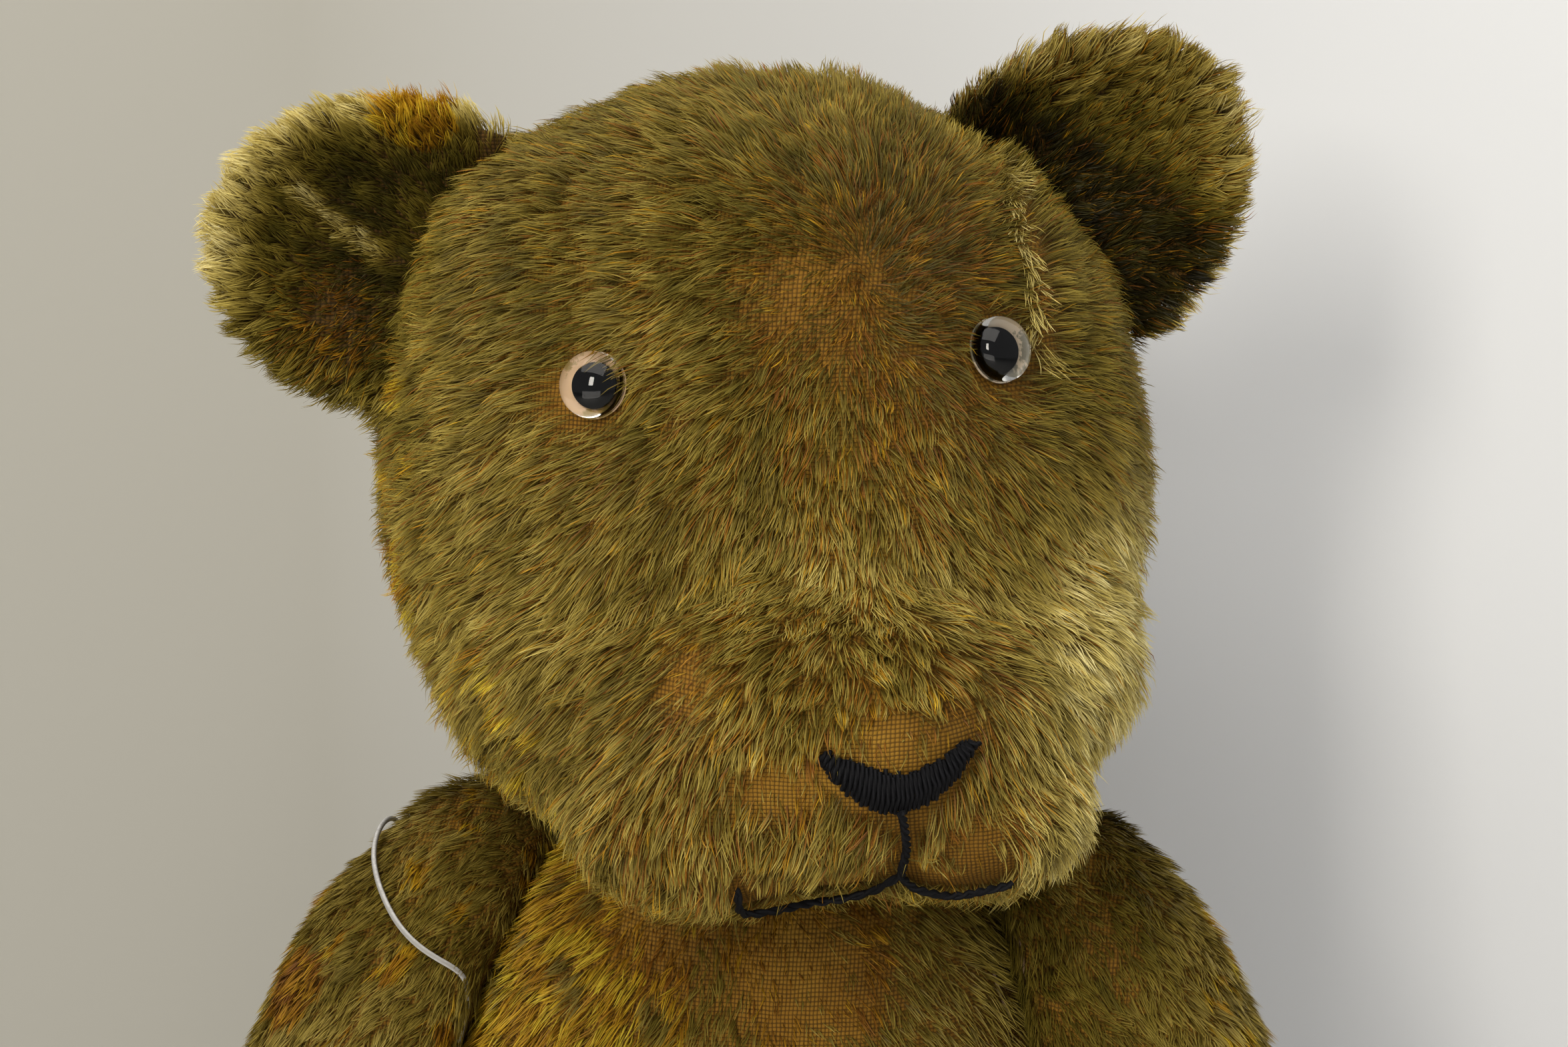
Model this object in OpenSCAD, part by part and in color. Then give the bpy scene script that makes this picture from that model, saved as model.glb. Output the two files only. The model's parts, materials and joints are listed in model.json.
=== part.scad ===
// A jointed mohair teddy bear, sitting, with a turning head, arms and legs.
// +Z is up and the bear looks towards -Y. The origin is the middle of its flat seat.
// "left" and "right" are the bear's own: its left is on the +X side.

/* [Torso] */
// Height from the seat to the neck joint
torso_h = 200; // [176:1:232]
// Width of the belly before the limbs flatten its sides
belly_w = 132; // [120:1:144]
// Depth of the belly from front to back
belly_d = 124; // [108:1:148]
// Width of the chest before the arms flatten its sides
chest_w = 134; // [126:1:142]
// Depth of the chest from front to back
chest_d = 108; // [96:1:124]

/* [Head] */
// Width of the skull across the cheeks
head_w = 142; // [126:1:164]
// Height of the head from the neck joint to the crown
head_h = 136; // [120:1:160]
// Depth of the skull without the muzzle
head_d = 122; // [108:1:146]
// Width of the muzzle where it leaves the face
muzzle_w = 86; // [72:1:100]
// Reach of the muzzle in front of the neck joint
muzzle_reach = 88; // [78:1:100]
// Height of the muzzle
muzzle_h = 62; // [52:1:72]
// Width of the middle strip of cloth over the crown
gusset_w = 76; // [72:1:82]
// How far the head is turned to the bear's left
head_turn = 21; // [-60:1:60]

/* [Ears] */
// Width of an ear along its seam
ear_w = 60; // [48:1:72]
// Height of an ear above its seam
ear_h = 40; // [32:1:50]
// Thickness of an ear
ear_t = 13; // [9:0.5:16]
// How far down the crown the left ear is sewn
ear_seat_left = 50; // [44:1:62]
// How far down the crown the right ear is sewn
ear_seat_right = 57; // [48:1:72]
// Lean of the left ear from upright
ear_lean_left = 48; // [34:1:70]
// Lean of the right ear from upright
ear_lean_right = 75; // [54:1:86]

/* [Eyes and stitching] */
// Diameter of a glass eye
eye_d = 12; // [9:0.5:15]
// Height of an eye's dome
eye_rise = 5; // [3.5:0.25:6.5]
// Diameter of the black pupil
pupil_d = 7.4; // [5:0.2:8]
// Diameter of an eye's wire shank
eye_wire_d = 1.2; // [0.8:0.1:1.6]
// Height of the eyes above the neck joint
eye_z = 91; // [80:1:98]
// How much higher the left eye sits than the right one
eye_step = 4; // [0:0.5:6]
// Place of the left eye across the face
eye_x_left = 33; // [28:0.5:42]
// Place of the right eye across the face
eye_x_right = -40; // [-46:0.5:-32]
// How far the nose sits to the bear's left
nose_x = 4; // [0:0.5:8]
// Height of the nose above the neck joint
nose_z = 27; // [23:0.5:32]
// Width of the stitched nose
nose_w = 28; // [22:0.5:34]
// Thickness of the stitching over the cloth
stitch_t = 1.2; // [0.8:0.1:2]

/* [Arms] */
// Length of an arm below its joint
arm_len = 158; // [138:1:180]
// Thickness of an arm out from the torso
arm_t = 40; // [34:1:46]
// Width of an arm from front to back at the shoulder
arm_w = 56; // [50:1:62]
// Outward slope of the arms
arm_splay = 22; // [20:0.5:25]
// How far the arms are swung forwards of hanging
arm_swing = 25; // [0:1:60]

/* [Legs] */
// Length of a leg from its joint to the sole
leg_len = 166; // [146:1:190]
// Thickness of a leg out from the torso
leg_t = 38; // [32:1:40]
// Height of a thigh as the bear sits
thigh_w = 66; // [60:1:72]
// Length of a foot from heel to toe
foot_len = 100; // [84:1:116]
// Inward lean of the hip joints
hip_lean = 4; // [2:0.5:6]

/* [Cloth and joints] */
// Thickness of the mohair cloth with its pressed pile
cloth_t = 2.5; // [1.5:0.1:3]
// Thickness of a hardboard joint disc
disc_t = 3; // [2:0.1:4]
// Diameter of the neck discs
neck_disc_d = 42; // [36:1:46]
// Diameter of the shoulder discs
shoulder_disc_d = 38; // [32:1:40]
// Diameter of the hip discs
hip_disc_d = 42; // [36:1:44]
// Diameter of a split pin
pin_d = 2.6; // [2:0.1:3.2]
// Radial clearance of a pin in its discs and washers
pin_clear = 0.05; // [0.02:0.01:0.1]
// Diameter of a steel washer
washer_d = 14; // [10:0.5:18]
// Thickness of a steel washer
washer_t = 1; // [0.6:0.1:1.5]
// Thickness of the string tied round the right arm
string_t = 1; // [0.8:0.1:1.2]

/* [Hidden] */
$fn = 64;
gap = 0.3;           // between cloths that turn on each other
clear = 0.3;         // between soft pieces of one body
big = 1000;
seat_round = 0.56;   // share of the belly's width that is flat at the seat

// Joint centres on the meeting faces, for the bear's left side
neck = [0, 0, torso_h];
shoulder = [chest_w / 2 - 14.5, 0, torso_h - 37];
hip = [belly_w / 2 - 10, -4, 42];

// Each joint: centre, turn from +Z to its outward axis, side, disc diameter
JOINTS = [
    [neck, 0, 1, neck_disc_d],
    [shoulder, 90 - arm_splay, 1, shoulder_disc_d],
    [shoulder, 90 - arm_splay, -1, shoulder_disc_d],
    [hip, 90 + hip_lean, 1, hip_disc_d],
    [hip, 90 + hip_lean, -1, hip_disc_d]
];
NECK = 0;
SHOULDER_LEFT = 1;
SHOULDER_RIGHT = 2;
HIP_LEFT = 3;
HIP_RIGHT = 4;

// Levels along a joint's axis, from the meeting faces outwards
face = gap / 2;
disc_at = face + cloth_t;
play = 0.1;
washer_at = disc_at + disc_t + play;
head_at = washer_at + washer_t;
pin_ring = 3;
pin_wire = pin_d / 2;
hardware_reach = head_at + 2 * pin_ring + pin_wire + 1.5;

// Ellipsoids that make the torso
belly_rz = torso_h * 0.46;
belly_z = belly_rz * sqrt(1 - seat_round * seat_round);
chest_rz = torso_h * 0.44;
chest_z = torso_h + 6 - chest_rz;

// Ellipsoids that make the head, from the neck joint
skull_r = [head_w / 2, head_d / 2, head_h * 0.544];
skull_c = [0, 2, head_h - skull_r[2]];
skull_poles = [0, 0, 76];
muzzle_c = [0, -muzzle_reach + muzzle_reach * 0.52, muzzle_h / 2 - 2];
muzzle_r = [muzzle_w / 2, muzzle_reach * 0.52, muzzle_h / 2];

hair_line = muzzle_c[2] + 6;      // where the gusset starts above the nose
foot_lift = -hip[2] + 1;          // the heel just clears the floor
arm_side_seam = arm_t / 2;        // where an arm's two cloths meet
leg_side_seam = leg_t / 2;
pad_len = 42;                     // length of a paw's felt
paint_t = 0.4;                    // enamel on the back of an eye
pupil_h = 2.2;                    // how deep the pupil goes into the glass
string_drop = 36;                 // where the string crosses the arm's inside
string_slant = 53;                // how steeply it climbs to the arm's outer side

function unit(v) = v / norm(v);
function skull_y(x, z) = skull_c[1] - skull_r[1]
    * sqrt(1 - pow((x - skull_c[0]) / skull_r[0], 2) - pow((z - skull_c[2]) / skull_r[2], 2));
function skull_out(p) = unit([for (i = [0:2]) (p[i] - skull_c[i]) / pow(skull_r[i], 2)]);

// ---- helpers ----

// An ellipsoid with its poles on Z, or turned to where a cut meets them squarely
module egg(c, r, poles = [0, 0, 0]) { translate(c) scale(r) rotate(poles) sphere(r = 1); }

module side_egg(c, r) { egg(c, r, [0, 90, 0]); }

// The half of space on the +X side of x
module beyond_x(x) { translate([x, -big / 2, -big / 2]) cube(big); }

module above_z(z) { translate([-big / 2, -big / 2, z]) cube(big); }

module on_side(side) { if (side > 0) children(); else mirror([1, 0, 0]) children(); }

// Children stand on a joint's meeting face, with +Z outwards from the torso
module at_joint(i) {
    on_side(JOINTS[i][2]) translate(JOINTS[i][0]) rotate([0, JOINTS[i][1], 0]) children();
}

// Children are an arm that hangs along -Z with its flat side at x = 0
module at_shoulder(side) {
    on_side(side) translate(shoulder) rotate([0, -arm_splay, 0]) rotate([-arm_swing, 0, 0])
        children();
}

// Children are a leg that points along -Y with its flat side at x = 0
module at_hip(side) { on_side(side) translate(hip) rotate([0, hip_lean, 0]) children(); }

module at_neck() { translate(neck) rotate([0, 0, head_turn]) children(); }

// Room for the pin, washer and disc of a joint, on the outer or the inner side
module hardware_room(i, dir) {
    turned = dir > 0 ? 0 : 1;
    at_joint(i) mirror([0, 0, turned]) {
        translate([0, 0, -1]) cylinder(d = JOINTS[i][3] + 2 * clear, h = disc_at + disc_t + clear + 1);
        cylinder(d = washer_d + 1, h = hardware_reach);
    }
}

// What a cloth leaves free for a joint: the pin's hole, and the disc that is pressed into it
module joint_cut(i, dir) {
    at_joint(i) {
        cylinder(d = pin_d + 2, h = 4 * cloth_t, center = true);
        translate([0, 0, dir > 0 ? disc_at : -disc_at - disc_t])
            cylinder(d = JOINTS[i][3] + clear, h = disc_t + clear);
    }
}

module disc(i, dir) {
    lift = dir > 0 ? disc_at : -disc_at - disc_t;
    color("peru") at_joint(i) translate([0, 0, lift]) difference() {
        cylinder(d = JOINTS[i][3], h = disc_t);
        translate([0, 0, -1]) cylinder(d = pin_d + 2 * pin_clear, h = disc_t + 2);
    }
}

// ---- torso ----

module torso_form(o) {
    difference() {
        union() {
            egg([0, -3, belly_z], [belly_w / 2 + o, belly_d / 2 + o, belly_rz + o]);
            egg([0, 0, chest_z], [chest_w / 2 + o, chest_d / 2 + o, chest_rz + o]);
        }
        translate([-big / 2, -big / 2, -big - o]) cube(big);
        for (i = [0:4]) at_joint(i)
            translate([-big / 2, -big / 2, o - face]) cube(big);
    }
}

module torso_cloth(side) {
    color("darkkhaki") difference() {
        intersection() {
            torso_form(0);
            on_side(side) beyond_x(0);
        }
        torso_form(-cloth_t);
        for (i = [0:4]) joint_cut(i, -1);
    }
}

module torso_left() { torso_cloth(1); }

module torso_right() { torso_cloth(-1); }

module torso_stuffing() {
    color("wheat") difference() {
        torso_form(-cloth_t - clear);
        for (i = [0:4]) hardware_room(i, -1);
    }
}

// A row of hand stitches that close the back seam
module back_closing_stitches() {
    count = 7;
    pitch = 7;
    color("saddlebrown") for (k = [0:count - 1]) {
        z = belly_z - pitch * (count - 1) / 2 + k * pitch;
        y = -3 + belly_d / 2 * sqrt(1 - pow((z - belly_z) / belly_rz, 2));
        translate([0, y + 0.8, z]) rotate([0, 90, 0]) cylinder(d = 1, h = 7, center = true);
    }
}

module body_disc_neck() { disc(NECK, -1); }

module body_disc_shoulder_left() { disc(SHOULDER_LEFT, -1); }

module body_disc_shoulder_right() { disc(SHOULDER_RIGHT, -1); }

module body_disc_hip_left() { disc(HIP_LEFT, -1); }

module body_disc_hip_right() { disc(HIP_RIGHT, -1); }

// A split pin: a round eye outside the limb's washer, a shank, and two curled legs inside
module joint_pins() {
    curl_at = disc_at + disc_t + washer_t;
    color("silver") for (i = [0:4]) at_joint(i) {
        translate([0, 0, -curl_at - pin_wire]) cylinder(d = pin_d, h = curl_at + pin_wire + head_at + 1);
        translate([0, 0, head_at + pin_ring + pin_wire]) rotate([90, 0, 0])
            rotate_extrude() translate([pin_ring, 0]) circle(r = pin_wire * 0.7);
        for (s = [0, 180]) rotate([0, 0, s]) translate([pin_ring, 0, -curl_at - pin_wire])
            rotate([90, 0, 0]) rotate_extrude(angle = 180, start = 180)
                translate([pin_ring, 0]) circle(r = pin_wire / 2);
    }
}

module joint_washers() {
    body_at = disc_at + disc_t;
    color("gainsboro") for (i = [0:4]) at_joint(i)
        for (z = [washer_at, -body_at - washer_t]) translate([0, 0, z]) difference() {
            cylinder(d = washer_d, h = washer_t);
            translate([0, 0, -1]) cylinder(d = pin_d + 2 * pin_clear, h = washer_t + 2);
        }
}

// ---- head ----

// Poles turn the skull's surface so that no cut of a piece runs along its seam
module head_form(o, poles = [0, 90, 0]) {
    intersection() {
        union() {
            egg(skull_c, skull_r + [o, o, o], poles);
            egg(muzzle_c, muzzle_r + [o, o, o], [0, 90, 0]);
        }
        above_z(face - o);
    }
}

module eye_place(x, z) {
    p = [x, skull_y(x, z), z];
    n = skull_out(p);
    translate(p) rotate([0, acos(n[2]), atan2(n[1], n[0])]) children();
}

module at_eye(side) {
    eye_place(side > 0 ? eye_x_left : eye_x_right, eye_z + side * eye_step / 2) children();
}

module eye_holes() {
    for (side = [-1, 1]) at_eye(side)
        translate([0, 0, -12]) cylinder(d = eye_wire_d + 0.6, h = 16);
}

module head_cuts() {
    translate(-neck) joint_cut(NECK, 1);
    eye_holes();
}

// The strip over the crown, from above the nose to the nape
module gusset_zone() {
    translate([-gusset_w / 2, -big / 2, hair_line]) cube([gusset_w, big, big]);
}

module head_side(side) {
    color("darkkhaki") at_neck() difference() {
        on_side(side) difference() {
            head_form(0);
            head_form(-cloth_t);
            on_side(-1) beyond_x(0);
            gusset_zone();
            translate(-neck) joint_cut(NECK, 1);
        }
        eye_holes();
    }
}

module head_side_left() { head_side(1); }

module head_side_right() { head_side(-1); }

module head_gusset() {
    color("olivedrab") at_neck() difference() {
        intersection() {
            head_form(0, skull_poles);
            gusset_zone();
        }
        head_form(-cloth_t, skull_poles);
        head_cuts();
    }
}

module head_stuffing() {
    color("wheat") difference() {
        at_neck() difference() {
            head_form(-cloth_t - clear, skull_poles);
            for (side = [-1, 1]) at_eye(side) translate([0, 0, -14]) cylinder(d = 6, h = 20);
        }
        hardware_room(NECK, 1);
    }
}

module head_disc() { disc(NECK, 1); }

module ear_half(side, half) {
    seat = side > 0 ? ear_seat_left : ear_seat_right;
    lean = side > 0 ? ear_lean_left : ear_lean_right;
    foot = skull_c + [skull_r[0] * sin(seat), 4, skull_r[2] * cos(seat)];
    color(half < 0 ? "darkolivegreen" : "goldenrod") at_neck() difference() {
        on_side(side) translate(foot) rotate([0, lean, 0]) intersection() {
            egg([0, 0, 2], [ear_w / 2, ear_t / 2, ear_h - 2], [90, 0, 0]);
            translate([-big / 2, half < 0 ? -big : 0, -14]) cube(big);
        }
        egg(skull_c, skull_r + [clear, clear, clear], skull_poles);
    }
}

module ear_left_front() { ear_half(1, -1); }

module ear_left_back() { ear_half(1, 1); }

module ear_right_front() { ear_half(-1, -1); }

module ear_right_back() { ear_half(-1, 1); }

// A clear dome with room behind it for the pupil
module eye_glass(side) {
    color("lightblue", 0.5) at_neck() at_eye(side) difference() {
        intersection() {
            egg([0, 0, clear + paint_t], [eye_d / 2, eye_d / 2, eye_rise - paint_t]);
            above_z(clear + paint_t);
        }
        translate([0, 0, clear]) cylinder(d = pupil_d + 0.1, h = paint_t + pupil_h + 0.05);
    }
}

module eye_pupil(side) {
    color("black") at_neck() at_eye(side)
        translate([0, 0, clear + paint_t]) cylinder(d = pupil_d, h = pupil_h);
}

module eye_paint(side) {
    color("moccasin") at_neck() at_eye(side)
        translate([0, 0, clear]) cylinder(d = eye_d - 0.4, h = paint_t);
}

// The shank goes through the cloth to a loop in the stuffing
module eye_wire(side) {
    loop_r = 2;
    color("silver") at_neck() at_eye(side) {
        translate([0, 0, -7]) cylinder(d = eye_wire_d, h = 7 + clear);
        translate([0, 0, -7 - loop_r]) rotate([90, 0, 0]) rotate_extrude()
            translate([loop_r, 0]) circle(d = eye_wire_d);
    }
}

module eye_glass_left() { eye_glass(1); }

module eye_pupil_left() { eye_pupil(1); }

module eye_paint_left() { eye_paint(1); }

module eye_wire_left() { eye_wire(1); }

module eye_glass_right() { eye_glass(-1); }

module eye_pupil_right() { eye_pupil(-1); }

module eye_paint_right() { eye_paint(-1); }

module eye_wire_right() { eye_wire(-1); }

// A thin layer on the front of the muzzle where the children's outline falls
module on_muzzle() {
    intersection() {
        difference() {
            side_egg(muzzle_c, muzzle_r + [1, 1, 1] * (0.1 + stitch_t));
            side_egg(muzzle_c, muzzle_r + [1, 1, 1] * 0.1);
        }
        above_z(face);
        translate([0, muzzle_c[1], 0]) rotate([90, 0, 0]) linear_extrude(height = big) children();
    }
}

module nose_stitching() {
    bow = nose_w * 0.62;
    color("black") at_neck() on_muzzle() translate([nose_x, nose_z + bow - 4])
        difference() {
            circle(r = bow);
            translate([0, 5.5]) circle(r = bow + 0.5);
            translate([-big / 2, -bow * 0.45]) square(big);
        }
}

module mouth_line(x, z, r, from, to) {
    translate([x, z]) intersection() {
        difference() {
            circle(r = r + 0.7);
            circle(r = r - 0.7);
        }
        polygon([[0, 0], for (a = [from:(to - from) / 6:to]) 3 * r * [cos(a), sin(a)]]);
    }
}

module mouth_stitching() {
    lip_z = nose_z - 14;
    reach = nose_w * 0.52;
    color("black") at_neck() on_muzzle() translate([nose_x, 0]) {
        translate([-0.7, lip_z]) square([1.4, nose_z - lip_z - 4.6]);
        for (s = [-1, 1]) mouth_line(s * reach, lip_z + 3, reach, s > 0 ? 192 : 200, s > 0 ? 330 : 348);
    }
}

// ---- arms ----

module arm_form(o) {
    intersection() {
        union() {
            side_egg([arm_t - 31, 0, -32], [31 + o, arm_w / 2 + o, 60 + o]);
            side_egg([arm_t - 31, 0, -arm_len * 0.55], [27 + o, arm_w * 0.41 + o, arm_len * 0.41 + o]);
            side_egg([arm_t - 31, -2, -arm_len + 32], [24 + o, arm_w * 0.43 + o, 32 + o]);
        }
        beyond_x(face - o);
    }
}

module arm_cloth(i, side) {
    difference() {
        at_shoulder(side) difference() {
            arm_form(0);
            arm_form(-cloth_t);
        }
        joint_cut(i, 1);
    }
}

module arm_outer(i, side) {
    color("darkkhaki") intersection() {
        arm_cloth(i, side);
        at_shoulder(side) beyond_x(arm_side_seam);
    }
}

module pad_zone() {
    translate([-big + arm_side_seam, -big / 2, -big - arm_len + pad_len]) cube(big);
}

module arm_inner(i, side) {
    color("darkkhaki") difference() {
        arm_cloth(i, side);
        at_shoulder(side) {
            beyond_x(arm_side_seam);
            pad_zone();
        }
    }
}

module arm_pad(i, side) {
    color("tan") intersection() {
        arm_cloth(i, side);
        at_shoulder(side) pad_zone();
    }
}

module arm_stuffing(i, side) {
    color("wheat") difference() {
        at_shoulder(side) arm_form(-cloth_t - clear);
        hardware_room(i, 1);
    }
}

module arm_left_outer() { arm_outer(SHOULDER_LEFT, 1); }

module arm_left_inner() { arm_inner(SHOULDER_LEFT, 1); }

module arm_left_pad() { arm_pad(SHOULDER_LEFT, 1); }

module arm_left_stuffing() { arm_stuffing(SHOULDER_LEFT, 1); }

module arm_left_disc() { disc(SHOULDER_LEFT, 1); }

module arm_right_outer() { arm_outer(SHOULDER_RIGHT, -1); }

module arm_right_inner() { arm_inner(SHOULDER_RIGHT, -1); }

module arm_right_pad() { arm_pad(SHOULDER_RIGHT, -1); }

module arm_right_stuffing() { arm_stuffing(SHOULDER_RIGHT, -1); }

module arm_right_disc() { disc(SHOULDER_RIGHT, 1); }

// A loop of string round the right arm, clear of the joint
module arm_string() {
    color("white") at_shoulder(-1) intersection() {
        difference() {
            arm_form(clear + string_t);
            arm_form(clear);
        }
        translate([0, 0, -string_drop]) rotate([0, -string_slant, 0])
            translate([-big / 2, -big / 2, 0]) cube([big, big, string_t]);
    }
}

// ---- legs ----

module leg_form(o) {
    axis_x = leg_t - 30;
    foot_rz = foot_len / 2 + 2;
    intersection() {
        union() {
            side_egg([axis_x, -30, 0], [30 + o, 72 + o, thigh_w / 2 + o]);
            side_egg([axis_x, -leg_len * 0.6, -4], [28 + o, leg_len * 0.42 + o, thigh_w * 0.4 + o]);
            side_egg([axis_x, -leg_len + 20, foot_lift + foot_rz], [27 + o, 32 + o, foot_rz + o]);
        }
        beyond_x(face - o);
        translate([-big / 2, -leg_len - o, -big / 2]) cube(big);
    }
}

module leg_cloth(i, side) {
    difference() {
        at_hip(side) difference() {
            leg_form(0);
            leg_form(-cloth_t);
            sole_zone();
        }
        joint_cut(i, 1);
    }
}

module sole_zone() { translate([-big / 2, -big - leg_len + cloth_t, -big / 2]) cube(big); }

module leg_outer(i, side) {
    color("darkkhaki") intersection() {
        leg_cloth(i, side);
        at_hip(side) beyond_x(leg_side_seam);
    }
}

module leg_inner(i, side) {
    color("darkkhaki") difference() {
        leg_cloth(i, side);
        at_hip(side) beyond_x(leg_side_seam);
    }
}

module leg_sole(side) {
    color("tan") at_hip(side) intersection() {
        leg_form(0);
        sole_zone();
    }
}

module insole_zone(o) {
    translate([-big / 2, -leg_len + cloth_t + o, -big / 2]) cube([big, 2, big]);
}

// Card that keeps the sole flat
module leg_insole(side) {
    color("burlywood") at_hip(side) intersection() {
        leg_form(-cloth_t - clear);
        insole_zone(clear);
    }
}

module leg_stuffing(i, side) {
    color("wheat") difference() {
        at_hip(side) difference() {
            leg_form(-cloth_t - clear);
            translate([-big / 2, -big - leg_len + cloth_t + 2 + 2 * clear, -big / 2]) cube(big);
        }
        hardware_room(i, 1);
    }
}

module leg_left_outer() { leg_outer(HIP_LEFT, 1); }

module leg_left_inner() { leg_inner(HIP_LEFT, 1); }

module leg_left_sole() { leg_sole(1); }

module leg_left_insole() { leg_insole(1); }

module leg_left_stuffing() { leg_stuffing(HIP_LEFT, 1); }

module leg_left_disc() { disc(HIP_LEFT, 1); }

module leg_right_outer() { leg_outer(HIP_RIGHT, -1); }

module leg_right_inner() { leg_inner(HIP_RIGHT, -1); }

module leg_right_sole() { leg_sole(-1); }

module leg_right_insole() { leg_insole(-1); }

module leg_right_stuffing() { leg_stuffing(HIP_RIGHT, -1); }

module leg_right_disc() { disc(HIP_RIGHT, 1); }

torso_left();
torso_right();
torso_stuffing();
back_closing_stitches();
body_disc_neck();
body_disc_shoulder_left();
body_disc_shoulder_right();
body_disc_hip_left();
body_disc_hip_right();
joint_pins();
joint_washers();
head_side_left();
head_side_right();
head_gusset();
head_stuffing();
head_disc();
ear_left_front();
ear_left_back();
ear_right_front();
ear_right_back();
eye_glass_left();
eye_pupil_left();
eye_paint_left();
eye_wire_left();
eye_glass_right();
eye_pupil_right();
eye_paint_right();
eye_wire_right();
nose_stitching();
mouth_stitching();
arm_left_outer();
arm_left_inner();
arm_left_pad();
arm_left_stuffing();
arm_left_disc();
arm_right_outer();
arm_right_inner();
arm_right_pad();
arm_right_stuffing();
arm_right_disc();
arm_string();
leg_left_outer();
leg_left_inner();
leg_left_sole();
leg_left_insole();
leg_left_stuffing();
leg_left_disc();
leg_right_outer();
leg_right_inner();
leg_right_sole();
leg_right_insole();
leg_right_stuffing();
leg_right_disc();
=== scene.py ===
"""A jointed mohair teddy bear: stuffed cloth skins, a mohair pile, stitched nose and mouth, glass eyes."""

import json
import math
from functools import partial

import bmesh
import bpy
import numpy as np
from mathutils import Matrix, Vector
from mathutils.bvhtree import BVHTree


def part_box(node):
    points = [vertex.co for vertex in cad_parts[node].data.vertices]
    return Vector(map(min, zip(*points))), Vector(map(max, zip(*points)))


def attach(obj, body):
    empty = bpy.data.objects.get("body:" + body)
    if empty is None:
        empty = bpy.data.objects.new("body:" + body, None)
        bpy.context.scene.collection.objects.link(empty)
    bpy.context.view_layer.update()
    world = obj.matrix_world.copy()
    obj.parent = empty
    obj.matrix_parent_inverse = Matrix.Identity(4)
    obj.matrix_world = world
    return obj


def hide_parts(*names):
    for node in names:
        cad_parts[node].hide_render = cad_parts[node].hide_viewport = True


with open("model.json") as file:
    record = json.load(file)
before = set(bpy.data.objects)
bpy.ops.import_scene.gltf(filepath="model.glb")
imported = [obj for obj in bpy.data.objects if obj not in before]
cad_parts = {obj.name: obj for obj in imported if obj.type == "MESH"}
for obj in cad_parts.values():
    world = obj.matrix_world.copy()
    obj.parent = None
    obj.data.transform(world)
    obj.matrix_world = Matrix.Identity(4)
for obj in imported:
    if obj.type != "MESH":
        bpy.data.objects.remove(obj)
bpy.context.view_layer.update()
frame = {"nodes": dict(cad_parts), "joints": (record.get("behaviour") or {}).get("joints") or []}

MM = 0.001
SEED = 41
JOINTS = {j["name"]: j for j in frame["joints"]}


def joint_at(name):
    return Vector(JOINTS[name]["pos_m"])


NECK = joint_at("neck_turn")
SHOULDER = joint_at("shoulder_left")
HIP = joint_at("hip_left")
HEAD_TURN = math.radians(21)
ARM_SPLAY = math.radians(22)
ARM_SWING = math.radians(25)
HIP_LEAN = math.radians(4)

MIRROR = Matrix.Diagonal((-1, 1, 1, 1))
HEAD_PLACE = Matrix.Translation(NECK) @ Matrix.Rotation(HEAD_TURN, 4, "Z")


def arm_place(side):
    turn = Matrix.Rotation(-ARM_SPLAY, 4, "Y") @ Matrix.Rotation(-ARM_SWING, 4, "X")
    return (Matrix.Identity(4) if side > 0 else MIRROR) @ Matrix.Translation(SHOULDER) @ turn


def leg_place(side):
    turn = Matrix.Rotation(HIP_LEAN, 4, "Y")
    return (Matrix.Identity(4) if side > 0 else MIRROR) @ Matrix.Translation(HIP) @ turn


# ---- camera, room and light ----

def camera():
    side, rise, away = math.radians(9.5), math.radians(13), 0.650
    back = Vector((math.sin(side) * math.cos(rise), -math.cos(side) * math.cos(rise), math.sin(rise)))
    target = Vector((0.003 * math.cos(side), 0.003 * math.sin(side), NECK.z + 0.052))
    cam = bpy.data.objects.new("camera", bpy.data.cameras.new("camera"))
    cam.data.lens = 76.6
    cam.data.sensor_width = 36
    cam.location = target + back * away
    cam.rotation_euler = (-back).to_track_quat("-Z", "Y").to_euler()
    bpy.context.scene.collection.objects.link(cam)
    bpy.context.scene.camera = cam


def area_light(name, at, aim, size, power, colour):
    lamp = bpy.data.lights.new(name, "AREA")
    lamp.shape = "RECTANGLE"
    lamp.size, lamp.size_y = size
    lamp.energy = power
    lamp.color = colour
    o = bpy.data.objects.new(name, lamp)
    o.location = at
    o.rotation_euler = (Vector(aim) - Vector(at)).to_track_quat("-Z", "Y").to_euler()
    bpy.context.scene.collection.objects.link(o)


def studio():
    scene = bpy.context.scene
    scene.view_settings.view_transform = "Standard"
    world = bpy.data.worlds.new("room")
    scene.world = world
    world.use_nodes = True
    world.node_tree.nodes["Background"].inputs[0].default_value = (0.62, 0.62, 0.62, 1)
    world.node_tree.nodes["Background"].inputs[1].default_value = 0.62
    area_light("window", (-0.24, -1.05, 0.78), (0, 0, 0.25), (0.22, 0.40), 5.8, (1.0, 0.94, 0.84))
    area_light("ceiling", (-0.10, -0.40, 1.15), (0, 0, 0.2), (1.1, 0.7), 5.2, (1.0, 0.95, 0.88))
    area_light("low_fill", (-0.15, -0.9, 0.10), (0, 0, 0.18), (0.8, 0.4), 1.9, (1.0, 0.95, 0.88))


# ---- shader helpers ----

def new_material(name, colour=(0.5, 0.5, 0.5, 1)):
    m = bpy.data.materials.new(name)
    m.use_nodes = True
    m.diffuse_color = colour
    tree = m.node_tree
    return m, tree, tree.nodes["Principled BSDF"]


def node(tree, kind, **values):
    n = tree.nodes.new(kind)
    for key, value in values.items():
        if hasattr(n, key):
            setattr(n, key, value)
        else:
            n.inputs[key.replace("_", " ")].default_value = value
    return n


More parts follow.
